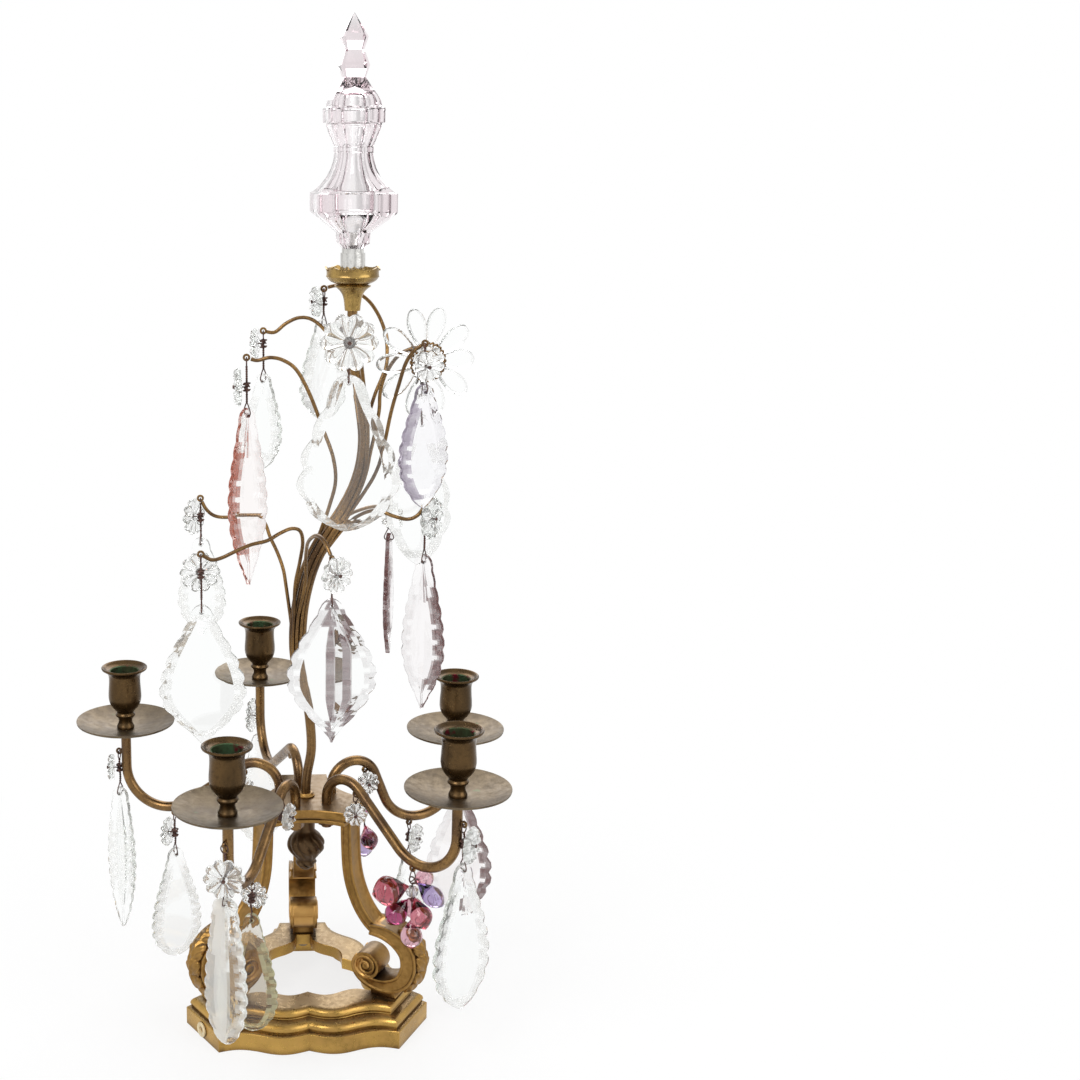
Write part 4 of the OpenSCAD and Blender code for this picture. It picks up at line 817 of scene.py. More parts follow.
class GIRANDOLE_OT_lights(bpy.types.Operator):
    """Bends the arms and turns the drip pans and candle cups"""

    bl_idname = "girandole.lights"
    bl_label = "Arms, pans and cups"

    def execute(self, context):
        # Radius of the collar and depth below the pan
        collar = [(r, -PAN_T - d) for r, d in ((3, 0), (6, 0), (6.1, 0.7), (5.2, 1.6), (4.3, 2.6), (4.5, 3.6),
                                               (4.4, 4.6), (3.8, 5.2), (3.4, 5.2))]
        for i, name in enumerate(ARM_NAMES):
            at = on_arm(i, ARM_REACHES[i], pan_seat(i))
            drawn_wire(f"arm_{name}_tube", [arm_line(i)], ARM_R * MM, 24, finish("tube"),
                       [f"arm_{name}"])
            eyes = [eye_ring(e, ARM_ANGLES[i]) for e in (cup_eye(i), bend_eye(i), arch_eye(i))]
            piece(f"arm_{name}_collar", [lathe(collar, at, 40)] + eyes, finish("tube"))
            self.pan(name, at)
            self.cup(name, at)
        return {"FINISHED"}

    def pan(self, name, at):
        """A thin dished pan with a rounded rim."""
        share = np.linspace(0, 1, 14)
        radius = PAN_HUB + share * (PAN_R - PAN_HUB)
        height = PAN_DEPTH * share ** 1.7
        top = [(PAN_BORE, 0)] + list(zip(radius, height))
        rim = [(PAN_R + 0.05, PAN_DEPTH - 0.5), (PAN_R - 0.2, PAN_DEPTH - PAN_T + 0.2)]
        under = [(r, h - PAN_T) for r, h in zip(radius[-2::-1], height[-2::-1])] + [(PAN_BORE, -PAN_T)]
        piece(f"drip_pan_{name}_spun", [lathe(top + rim + under, at, 96)], finish("spun"),
              [f"drip_pan_{name}"], crease=40)

    def cup(self, name, at):
        """A vase-shaped cup with a turned foot, and a stained lining in its candle hole."""
        wall, floor = CANDLE_R + 1.4, CUP_H - CANDLE_DEPTH
        outside = [(0, 0), (6.1, 0), (6.5, 0.7), (6.5, 1.7), (6.1, 2.5), (5.4, 4), (5.0, 5.6), (5.1, 7),
                   (5.6, 8.2), (5.7, 8.7), (6.4, 9.1), (7.0, 9.7), (7.25, 10.6), (7.0, 11.5), (6.4, 12),
                   (6.2, 12.5), (6.3, 13.2), (7.6, 14.6), (9.4, 16.6), (10.9, 19), (11.8, 21.6), (12.2, 24.4),
                   (12.15, 27.5), (11.9, 31), (wall, 35), (wall - 0.05, 39), (11.8, 41.4), (12.6, 43.2),
                   (14.2, 44.8), (15.8, 45.7), (16.7, 46.3), (17, 47), (16.9, 47.5), (16.3, 47.9),
                   (15.2, 47.6), (14.4, 46.6), (13.2, 45.9), (12, 45.4), (11, 45.1)]
        bore = [(CANDLE_R, 44.6), (CANDLE_R, 40), (CANDLE_R, floor + 0.4), (CANDLE_R - 0.6, floor),
                (0, floor)]
        made = piece(f"candle_cup_{name}_turned", [lathe(outside + bore, at, 64, "open")], finish("turned"),
                     [f"candle_cup_{name}"], crease=40)
        made.data.materials.append(finish("lining"))
        for face in made.data.polygons:
            spot = (face.center - Vector(at) * MM) / MM
            if floor - 0.1 < spot.z < CUP_H and math.hypot(spot.x, spot.y) < CANDLE_R + 0.6:
                face.material_index = 1


# Middle of the stem as distance to the right and height, from the top of the platform
STEM = [(0, 8), (1, 18), (4, 38), (2, 66), (-3, 92), (-6, 116), (-4, 146), (3, 174), (14, 196), (27, 216),
        (37, 238), (41, 262), (39, 288), (34, 314), (32, 340), (32, 355)]
STEM_TOP = np.array([32, 0, PLATE_TOP + 355.0])
# Ends of the tube inside the platform and the gallery cup
STEM_ENDS = ((0, 0, -25.0), (32, 0, 366))

# Strand, where it joins and leaves the stem, and its free points to the drilled tip, above the platform
BRANCHES = {
    "top": (3, 118, 266, [(48, 12, 292), (56, 16, 312), (58, 22, 328), (55, 28, 343), (47, 34, 357),
                          (36, 37, 365), (24, 37, 369), (14, 35, 367)]),
    "back_left": (4, 114, 276, [(33, 16, 304), (24, 22, 325), (14, 27, 339), (5, 30, 346), (-4, 31, 347),
                                (-13, 31, 343), (-21, 30, 337), (-29, 30, 338)]),
    "pink": (6, 112, 196, [(16, -8, 220), (20, -12, 238), (18, -16, 256), (11, -19, 276), (2, -22, 300),
                           (-7, -24, 317), (-16, -25, 324), (-25, -25, 326), (-34, -24, 324),
                           (-41, -24, 326)]),
    "front": (9, 112, 250, [(42, -15, 276), (39, -28, 300), (35, -44, 326), (31, -58, 346), (28, -67, 355),
                            (25, -73, 356)]),
    "lilac": (10, 116, 214, [(47, -6, 240), (53, -15, 262), (57, -26, 288), (61, -36, 308), (65, -43, 324),
                             (70, -48, 333), (77, -50, 338)]),
    "daisy": (1, 120, 254, [(51, 4, 282), (52, 3, 298), (56, 0, 313), (63, -3, 324), (71, -5, 329),
                            (79, -6, 330)]),
    "mauve": (0, 110, 188, [(29, 1, 204), (39, -4, 213), (49, -11, 217), (60, -17, 214), (70, -19, 212),
                            (77, -20, 215), (82, -20, 222)]),
    "small": (5, 96, 132, [(-14, 5, 158), (-16, 8, 170), (-20, 13, 181), (-25, 18, 191), (-29, 22, 201),
                           (-37, 25, 206), (-46, 26, 206), (-56, 27, 204), (-65, 28, 205), (-71, 28, 210),
                           (-75, 28, 218)]),
    "left_kite": (7, 100, 136, [(-8, -10, 162), (-5, -15, 180), (-3, -21, 196), (-5, -27, 206),
                                (-11, -32, 209), (-19, -37, 207), (-28, -42, 203), (-39, -45, 201),
                                (-50, -48, 197), (-59, -49, 193), (-66, -50, 192), (-73, -50, 196)]),
    "front_kite": (8, 104, 142, [(-1, -12, 164), (-1, -20, 178), (-1, -32, 192), (0, -46, 203), (4, -62, 211),
                                 (8, -74, 212), (11, -81, 208), (14, -86, 201)]),
    "back": (2, 108, 178, [(17, 14, 196), (30, 25, 205), (45, 42, 207), (56, 57, 205), (65, 68, 202)]),
}


def stem_line():
    """Points along the middle of the stem, above the platform."""
    return smooth([(x, 0, z) for x, z in STEM], 8)


def branch_line(key):
    """Points along a branch wire: beside the stem, then free to its tip."""
    strand, low, high, free = BRANCHES[key]
    stem = stem_line()
    ways = np.gradient(stem, axis=0)
    ways /= np.linalg.norm(ways, axis=1)[:, None]
    angle = 2 * math.pi * strand / STRANDS
    run = [p + STRAND_R * (math.cos(angle) * np.array([t[2], 0, -t[0]])
                           + math.sin(angle) * np.array([0, 1, 0]))
           for p, t in zip(stem, ways) if low <= p[2] <= high]
    # The strand's last two points are as far apart as the solid's, so the free part leaves in the same curve
    tail = smooth([run[-3], run[-1], *free], 8)
    line = np.vstack([run, tail[9:]])
    return line + np.array([0, 0, PLATE_TOP])


def heading(line):
    """Direction in plan of the end of a line, in degrees."""
    d = np.array(line[-1]) - np.array(line[-3])
    return math.degrees(math.atan2(d[1], d[0]))


class GIRANDOLE_OT_tree(bpy.types.Operator):
    """Draws the stem and the branch wires, and turns the gallery cup"""

    bl_idname = "girandole.tree"
    bl_label = "Stem and branches"

    def execute(self, context):
        radius = context.scene.girandole_sizes.wire_radius
        lift = np.array([0, 0, PLATE_TOP])
        stem = np.vstack([STEM_ENDS[:1], stem_line(), STEM_ENDS[1:]]) + lift
        drawn_wire("main_stem_tube", [stem], STEM_R * MM, 20, finish("tube"), ["main_stem"])
        lines = {key: branch_line(key) for key in BRANCHES}
        # Each wire ends where the ring of its eye begins
        trimmed = [[p for p in line if np.linalg.norm(p - line[-1]) > EYE_R - 0.4] for line in lines.values()]
        drawn_wire("branch_wires_drawn", trimmed, radius, 14, finish("tube"), ["branch_wires"])
        piece("branch_eyes", [eye_ring(line[-1], heading(line)) for line in lines.values()], finish("tube"))
        ring = [(3.6, 0), (6.3, 0), (6.5, 0.5), (6.4, 1.1), (5.6, 1.5), (5.2, 2.2), (4.8, 2.9), (3.6, 3)]
        piece("stem_collar_turned", [lathe(ring, lift, 48)], finish("gilt"), ["stem_collar"])
        self.gallery()
        return {"FINISHED"}

    def gallery(self):
        """A trumpet socket with a cup on it, its rim scalloped between sharp notches."""
        outside = [(0, 0), (5.3, 0), (5.4, 1), (5.8, 5), (6.3, 8.5), (7.2, 11.2), (8.9, 13.6), (10.9, 15.4),
                   (12.2, 16.2), (12.6, 16.8), (12.3, 17.3), (10.4, 17.7), (10.6, 18.1), (12.6, 18.7),
                   (15, 19.8), (16.8, 21.2), (17.7, 22.7), (18.2, 23), (18.3, 23.4), (18, 23.8), (17.9, 25.4),
                   (18, 27), (18.4, 28.6), (18.7, 29.6), (19, 30)]
        inside = [(17.8, 30), (17.2, 27.5), (16.9, 25.4), (16, 22.9), (12, 21.6), (8.8, 21.05), (0, 21)]
        lobes, notch, edge = 7, 2.9, len(outside)
        # How far the points next to the rim follow its waves
        follow = {edge - 2: 0.55, edge - 1: 1.0, edge: 1.0, edge + 1: 0.3}

        def ripple(index, angle):
            wave = abs(math.sin(lobes * angle / 2 + 0.4))
            dip = 1 - wave ** 0.5 + 0.25 * abs(math.sin(lobes * angle + 0.8))
            return -notch * follow.get(index, 0) * dip

        piece("gallery_cup_turned", [lathe(outside + inside, STEM_TOP, 168, "open", ripple)],
              finish("polished"), ["gallery_cup"], crease=42)


# Outline of the finial as half width and height. The wide band above the point FINIAL_BAND is cut with
# crossed lines.
FINIAL = [(7.3, 0), (11, 3.8), (11.4, 10.6), (12.6, 11.4), (28, 23.6), (28.7, 24.4), (28.7, 36.6),
          (26.3, 37.6), (22.2, 41.5), (17.6, 47.3), (14.8, 53.2), (13.2, 59), (12.6, 63.3), (13, 63.8),
          (13, 67.2), (12.6, 67.7), (14.1, 71), (16.4, 76.4), (17.8, 80.6), (18, 82.3), (20.1, 83),
          (20.2, 92.3), (18.2, 93.2), (17.3, 97), (16, 99.7), (11.9, 105.5), (8.6, 110.8), (7.6, 112.2),
          (10.2, 120), (7.2, 128.6), (6.4, 129.8), (9.2, 138), (0.3, 153.6)]
FINIAL_BAND = 5
FINIAL_SIDES = 8
# Hollow of the finial: its facets round, wall, bore, foot and top
HOLLOW_SIDES, HOLLOW_WALL, HOLLOW_BORE, HOLLOW_FOOT, HOLLOW_TOP = 48, 2.8, 4.6, 11, 104


class GIRANDOLE_OT_finial(bpy.types.Operator):
    """Cuts the hollow glass finial and sets it on its sleeve"""

    bl_idname = "girandole.finial"
    bl_label = "Finial"

    def execute(self, context):
        low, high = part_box("glass_finial")
        middle = (low + high) / 2 / MM
        at = np.array([middle.x, middle.y, low.z / MM])
        # A square with cut corners, turned a little to the right
        corners = turned(np.array([(1, -0.78, 0), (1, 0.78, 0), (0.78, 1, 0), (-0.78, 1, 0), (-1, 0.78, 0),
                                   (-1, -0.78, 0), (-0.78, -1, 0), (0.78, -1, 0)]), 5)
        wide = max(corners[:, 0])
        cut = [corners * r / wide + at + np.array([0, 0, z]) for r, z in FINIAL]
        verts, faces = weave(cut, "open")
        verts, faces = self.crossed(np.array(verts), list(faces))
        faces.append(tuple((len(cut) - 1) * FINIAL_SIDES + i for i in range(FINIAL_SIDES)))
        hollow = [(max(r / wide - HOLLOW_WALL, HOLLOW_BORE), z)
                  for r, z in FINIAL if HOLLOW_FOOT < z < HOLLOW_TOP]
        inside = [(0, HOLLOW_TOP)] + smooth(hollow[::-1], 3).tolist() + [(HOLLOW_BORE, 0)]
        bore, bore_faces = lathe(inside, at, HOLLOW_SIDES, "open")
        lip = [len(verts) + len(bore) - HOLLOW_SIDES + k for k in range(HOLLOW_SIDES)]
        faces += [tuple(i + len(verts) for i in f) for f in bore_faces]
        # The flat ring at the foot joins the cut outside to the round hollow
        bearing = np.degrees(np.arctan2(corners[:, 1], corners[:, 0])) % 360
        near = [int(np.argmin(np.abs((bearing - 360 / HOLLOW_SIDES * k + 180) % 360 - 180)))
                for k in range(HOLLOW_SIDES)]
        for k in range(HOLLOW_SIDES):
            after = (k + 1) % HOLLOW_SIDES
            faces.append((lip[k], lip[after], near[k]))
            if near[after] != near[k]:
                faces.append((lip[after], near[after], near[k]))
        piece("glass_finial_cut", [(np.vstack([verts, bore]), faces)], finish("rose"),
              ["glass_finial"], body="finial", crease=14)
        sleeve = frame["nodes"]["finial_sleeve"]
        sleeve.data.materials.clear()
        sleeve.data.materials.append(finish("grey"))
        return {"FINISHED"}

    def crossed(self, verts, faces):
        """Cuts each face of the wide band into four, round a point that stands proud."""
        first, last, proud = FINIAL_BAND * FINIAL_SIDES, (FINIAL_BAND + 2) * FINIAL_SIDES, 0.8
        band = [f for f in faces if first <= min(f) < first + FINIAL_SIDES <= max(f) < last]
        kept = [f for f in faces if f not in band]
        axis = verts[first:last].mean(axis=0)
        for face in band:
            middle = verts[list(face)].mean(axis=0)
            out = middle - axis
            verts = np.vstack([verts, middle + proud * out / np.linalg.norm(out)])
            kept += [(face[k], face[(k + 1) % 4], len(verts) - 1) for k in range(4)]
        return verts, kept


# Drops on the tree: branch, how far the rosette is tied below the eye, its radius and the way it faces
ROSETTES = {
    "pendant_top": ("top", 9, 11, 195),
    "pendant_back_left": ("back_left", 9, 11, 170),
    "pendant_pink_spear": ("pink", 20, 13, 185),
    "pendant_front_leaf": ("front", 14, 19, -90),
    "pendant_lilac": ("lilac", 15, 10.5, -75),
    "pendant_daisy_leaf": ("daisy", 8.6, 0, -70),
    "pendant_mauve_spear": ("mauve", 8.6, 15, -35),
    "pendant_small_left": ("small", 14, 13.5, 150),
    "pendant_left_kite": ("left_kite", 14, 14, 100),
    "pendant_front_kite": ("front_kite", 10, 12.6, -55),
    "pendant_mauve_back": ("back", 9, 10, 60),
}
# Drops on the arms: eye, arm, then the same
ARM_ROSETTES = {
    "pendant_left_icicle": (cup_eye, 4, 13, 10, 180),
    "pendant_left_pear": (bend_eye, 4, 16, 11, 160),
    "pendant_front_left_prism": (cup_eye, 0, 22, 14, -95),
    "pendant_smoky": (bend_eye, 0, 12, 10, 70),
    "pendant_front_right": (cup_eye, 1, 14, 13, -30),
    "pendant_right_leaf": (cup_eye, 2, 12, 9, 0),
    "pendant_right_pear": (bend_eye, 2, 12, 11, -30),
    "pendant_back_pear": (cup_eye, 3, 15, 14, 165),
    "grape_pair": (arch_eye, 2, 9, 9, -71),
    "grape_cluster": (bend_eye, 1, 0, 0, 0),
}
# Rosettes under the arches: arm, how far below the eye, radius and facing
ARCH_ROSETTES = ((0, 11, 10, -24), (1, 13.4, 8.6, -93), (4, 11, 10, 254))


def drops():
    """Every drop: eye, heading of the eye, depth of the knot, radius and facing of the rosette, body."""
    found = []
    for body, (key, tied, radius, face) in ROSETTES.items():
        line = branch_line(key)
        found.append((line[-1], heading(line), tied, radius, face, body))
    for body, (eye, i, tied, radius, face) in ARM_ROSETTES.items():
        found.append((eye(i), ARM_ANGLES[i], tied, radius, face, body))
    for i, tied, radius, face in ARCH_ROSETTES:
        found.append((arch_eye(i), ARM_ANGLES[i], tied, radius, face, None))
    return found


def swing_of(body):
    """Hole of a hanging piece in millimetres, and the way it faces in degrees."""
    joint = SWINGS[body]
    return np.array(joint["pos_m"]) / MM, math.degrees(math.atan2(joint["axis"][1], joint["axis"][0]))


class GIRANDOLE_OT_hooks(bpy.types.Operator):
    """Twists the iron hook wires"""

    bl_idname = "girandole.hooks"
    bl_label = "Hook wires"

    def execute(self, context):
        lines = []
        for eye, way, tied, radius, face, body in drops():
            if tied:
                lines += self.shank(eye, way, tied, body)
            if radius:
                lines += self.knot(eye - np.array([0, 0, tied]), face)
            if body:
                lines.append(self.stirrup(body, 8.8 if tied else 9.0))
        drawn_wire("hook_wires_twisted", lines, context.scene.girandole_sizes.hook_radius, 6, finish("iron"),
                   ["hook_wires"])
        return {"FINISHED"}

    def shank(self, eye, way, tied, body):
        """A ring through the eye and two strands twisted together below it."""
        side, strand, bow = toward(way + 90), 0.42, 0.7
        ring = [eye + side * 2.6 * math.sin(a) + np.array([0, 0, 3 * math.cos(a) - 3])
                for a in np.linspace(0, 2 * math.pi, 19)]
        low = swing_of(body)[0][2] + 8.6 if body else eye[2] - tied - 1.5
        down = np.linspace(eye[2] - 5.8, low, max(8, int((eye[2] - low) * 2.2)))
        twists = []
        for phase in (0, math.pi):
            line = []
            for k, z in enumerate(down):
                turn = phase + 2 * z
                at = np.array([eye[0] + strand * math.cos(turn), eye[1] + strand * math.sin(turn), z])
                line.append(at + side * bow * math.sin(2 * math.pi * k / (len(down) - 1)))
            twists.append(line)
        return [ring, *twists]

    def knot(self, at, face):
        """A wound knot, and the wire end through the rosette with its small twist in front."""
        windings, radius, loose = 9, 1.9, 0.5
        wound = [at + np.array([(radius + loose * math.sin(0.37 * a)) * math.cos(a),
                                (radius + loose * math.cos(0.29 * a)) * math.sin(a),
                                2.6 * math.sin(0.21 * a)])
                 for a in np.linspace(0, windings * 2 * math.pi, 110)]
        pin = [at + toward(face) * d for d in np.linspace(1, 9.2, 6)]
        side = toward(face + 90)
        button = [pin[-1] + side * 0.9 * math.cos(a) + np.array([0, 0, 0.9 * math.sin(a)])
                  for a in np.linspace(0, 4 * math.pi, 26)]
        return [wound, pin, button]

    def stirrup(self, body, high):
        """The bent loop through the hole of a hanging piece."""
        hole, facing = swing_of(body)
        side = [(0.2, high), (1.6, 6.6), (3.0, 3.6), (3.5, 1.6), (2.6, 0.2)]
        shape = smooth(side + [(0, -0.45)] + [(-u, z) for u, z in side[::-1]], 5)
        return [hole + toward(facing) * u + np.array([0, 0, z]) for u, z in shape]


def rosette_shape(petals):
    """Unit rosette on z = 0: rounded petals, sharp grooves between them and a button in the middle."""
    angles = np.linspace(0, 2 * math.pi, petals * 8, endpoint=False)
    groove = np.abs(np.sin(petals * angles / 2))
    # Radius, height in the grooves, and how much higher the petals are, from the button round to the back
    section = ((0.001, 0.92, 0), (0.1, 0.9, 0), (0.17, 0.72, 0), (0.21, 0.46, 0.02), (0.3, 0.38, 0.16),
               (0.42, 0.36, 0.3), (0.56, 0.36, 0.42), (0.7, 0.36, 0.5), (0.82, 0.36, 0.48),
               (0.91, 0.34, 0.36), (0.97, 0.3, 0.2), (1.0, 0.24, 0.06), (1.0, 0.1, 0), (0.95, 0, 0),
               (0.4, 0, 0), (0.001, 0, 0))
    loops = []
    for share, low, bulge in section:
        r = share * (1 - 0.15 * (1 - groove) * share ** 2)
        loops.append(np.column_stack([r * np.cos(angles), r * np.sin(angles), low + bulge * groove ** 0.8]))
    return weave(loops, "open")


def leaf_plate(length, half, rows, thick_edge, thick_mid, border, ridge, top, flutes=()):
    """A cut plate: x across, y up, z through. half gives the outer and inner half width of a row."""
    loops = []
    for t in rows:
        outer, inner = half(t)
        from_end = min(t, 1 - t) * length
        rise = min(1.0, from_end / border, inner / border + 0.15)
        inner = min(inner, outer) * min(1, 0.25 + from_end / border)
        mid = thick_edge + (thick_mid - thick_edge) * rise
        spine = thick_edge + (thick_mid * ridge - thick_edge) * rise
        rim = [(outer, thick_edge), ((outer + inner) / 2, 0.42 * thick_edge + 0.58 * mid), (inner, mid)]
        if flutes:
            middle = [(x * min(1, inner / FLUTED_HALF), spine if k % 2 else mid)
                      for k, x in enumerate(flutes)]
        else:
            shoulder = (mid + spine) / 2
            middle = [(-0.62 * inner, shoulder), (-0.3 * inner, spine), (0.3 * inner, spine),
                      (0.62 * inner, shoulder)]
        across = [(-x, z) for x, z in rim] + middle + rim[::-1]
        y = top - t * length
        loops.append(np.array([(x, y, z) for x, z in across] + [(x, y, -z) for x, z in across[::-1]]))
    return weave(loops)


# Where a plate takes more of its painted facet colour, standing in for the bands that refraction and
# reflection show in the glass: along its left or right edge, along all its edges, in its upright flutes, or
# in the upright blocks of the prism
PAINTED_BANDS = {
    "pendant_pink_spear": "left", "pendant_lilac": "left", "pendant_mauve_spear": "right",
    "pendant_right_leaf": "right", "pendant_mauve_back": "edges", "pendant_smoky": "edges",
    "pendant_front_kite": "flutes", "pendant_front_left_prism": "blocks",
}
# Upright flutes of the front kite, across its width from the left, and the inner half width below which
# they narrow
FLUTES = (-4, 2, 7, 13)
FLUTED_HALF = 17
# Upright part of a face's normal up to which it belongs to the rim, or to the bevel
RIM_RISE, BEVEL_RISE = 0.5, 0.992


def mark_cuts(mesh, rim=0.6, bevel=0.34, painted_band=None):
    """Marks how much painted facet colour each face of a plate takes: rim and bevel unevenly, and more along
    the plate's painted band.
    """
    rise = np.abs([face.normal.z for face in mesh.polygons])
    across = np.array([face.center.x for face in mesh.polygons]) / MM
    uneven = np.random.default_rng(5).uniform(0.35, 1.3, len(rise))
    share = np.where(rise < RIM_RISE, rim, np.where(rise < BEVEL_RISE, bevel, 0.0)) * uneven
    if painted_band == "flutes":
        left = (across > FLUTES[0]) & (across < FLUTES[1])
        right = (across > FLUTES[2]) & (across < FLUTES[3])
        fluted = (rise > 0.9) & (left | right)
        share = np.where(fluted, 0.4 + 0.3 * uneven, 0.4 * share)
    elif painted_band == "blocks":
        share = np.where(across > 1, 1.3 * share + 0.08, np.where(across > -8, 0.7, 0.45))
    elif painted_band:
        strip = {"left": across < 0, "right": across > 0, "edges": share > 0}[painted_band]
        gathered = 2 * share if painted_band == "edges" else np.where(share > 0, 0.4 + 0.4 * uneven, 0)
        share = np.where(strip, gathered, 0.3 * share)
    cut = mesh.attributes.new("cut", "FLOAT", "FACE")
    cut.data.foreach_set("value", np.clip(share, 0, 1))


# Half thickness of a pendant at its edge and in its field, and radius of its hole
PENDANT_EDGE, PENDANT_FIELD, HOLE_R = 1.5, 2.6, 1.6
# Width, length, neck, widest point, fullness of the foot, cuts along the edge, depth of the cuts, height
# of the middle ridge and glass of each pendant
PENDANTS = {
    "pendant_top": (40, 72, 0.3, 0.68, 0.6, 8, 0.1, 1.0, "clear"),
    "pendant_back_left": (32, 68, 0.34, 0.62, 0.7, 8, 0.1, 1.1, "clear"),
    "pendant_pink_spear": (34, 124, 0.34, 0.55, 1, 11, 0.1, 1.15, "pink"),
    "pendant_front_leaf": (68, 104, 0.28, 0.7, 0.6, 5, 0.12, 1.0, "clear"),
    "pendant_lilac": (40, 84, 0.3, 0.6, 0.7, 9, 0.1, 1.0, "lilac"),
    "pendant_daisy_leaf": (46, 106, 0.24, 0.64, 0.7, 5, 0.12, 1.0, "clear"),
    "pendant_mauve_spear": (34, 113, 0.34, 0.6, 1, 10, 0.1, 1.15, "mauve"),
    "pendant_small_left": (36, 72, 0.3, 0.66, 0.6, 8, 0.1, 1.0, "clear"),
    "pendant_left_kite": (61, 102, 0.2, 0.62, 1.3, 9, 0.09, 1.0, "clear"),
    "pendant_front_kite": (61, 100, 0.2, 0.55, 1.3, 9, 0.09, 1.3, "fluted"),
    "pendant_mauve_back": (30, 94, 0.34, 0.6, 1, 9, 0.1, 1.15, "mauve"),
    "pendant_left_icicle": (26, 114, 0.5, 0.5, 0.7, 12, 0.12, 1.3, "clear"),
    "pendant_left_pear": (42, 88, 0.26, 0.72, 0.5, 11, 0.1, 1.0, "clear"),
    "pendant_front_left_prism": (32, 106, 0.55, 0.66, 0.45, 11, 0.11, 1.2, "clear"),
    "pendant_smoky": (36, 88, 0.28, 0.74, 0.5, 11, 0.09, 1.0, "smoky"),
    "pendant_front_right": (48, 108, 0.26, 0.68, 0.6, 9, 0.11, 1.1, "clear"),
    "pendant_right_leaf": (52, 100, 0.24, 0.64, 0.7, 8, 0.11, 1.0, "mauve"),
    "pendant_right_pear": (30, 62, 0.34, 0.7, 0.5, 8, 0.1, 1.0, "clear"),
    "pendant_back_pear": (40, 96, 0.26, 0.7, 0.5, 10, 0.1, 1.0, "clear"),
}


class GIRANDOLE_OT_pendants(bpy.types.Operator):
    """Cuts the glass pendants and drills them for their hooks"""

    bl_idname = "girandole.pendants"
    bl_label = "Pendants"

    def execute(self, context):
        border = context.scene.girandole_sizes.border / MM
        drill = new_object("drill", *lathe([(0, -8), (HOLE_R, -8), (HOLE_R, 8), (0, 8)], turns=24,
                                           ends="open"))
        for body, (width, length, neck, peak, full, cuts, dip, ridge, glass) in PENDANTS.items():
            def half(t):
                if t < peak:
                    swell = neck + (1 - neck) * math.sin(math.pi / 2 * t / peak) ** 1.5
                else:
                    swell = max(0, math.cos(math.pi / 2 * (t - peak) / (1 - peak))) ** full
                crown = math.sqrt(max(0.02, 1 - (1 - min(1, t / 0.06)) ** 2))
                plain = max(0.8, width / 2 * swell * crown)
                scallop = 1 - dip * (1 - abs(math.sin(math.pi * cuts * t)))
                return plain * scallop, max(0.3, plain * (1 - dip) - border)

            # Few and wide cuts are drawn round, many and narrow ones with plain facets
            steps = cuts * (3 if cuts > 7 else 8)
            rows = np.sort(np.concatenate([np.arange(steps + 1) / steps, [0.008, 0.02, 0.992]]))
            verts, faces = leaf_plate(length, half, rows, PENDANT_EDGE, PENDANT_FIELD, border, ridge,
                                      DROP_TOP, FLUTES if glass == "fluted" else ())
            made = new_object(body + "_cut", verts, faces)
            made.data.materials.append(finish(glass))
            bore = made.modifiers.new("Drilled hole", "BOOLEAN")
            bore.operation, bore.object, bore.solver = "DIFFERENCE", drill, "EXACT"
            settle(made)
            mark_cuts(made.data, painted_band=PAINTED_BANDS.get(body))
            hole, facing = swing_of(body)
            made.data.transform(Matrix.Translation(Vector(hole * MM)) @ upright(facing).to_4x4())
            fit(made, body, [body])
        discard(drill)
        return {"FINISHED"}


# Rosettes: distance of their backs from the knot, and height
ROSETTE_OUT, ROSETTE_H = 4.2, 5.2
# Daisy: the way it faces, where its middle is from the eye, and radius, height and distance of its heart
DAISY_FACE, DAISY_DOWN, DAISY_OUT = -70, 8.6, 4.45
HEART_R, HEART_H, HEART_OUT = 12, 5, 7.2
# Its petals: number, start from the middle, length, half width, border, and heights of the two layers
PETALS, PETAL_FROM, PETAL_LENGTH, PETAL_HALF, PETAL_BORDER, PETAL_LAYERS = 10, 7.3, 30.7, 7, 1.9, (1.7, 5.1)


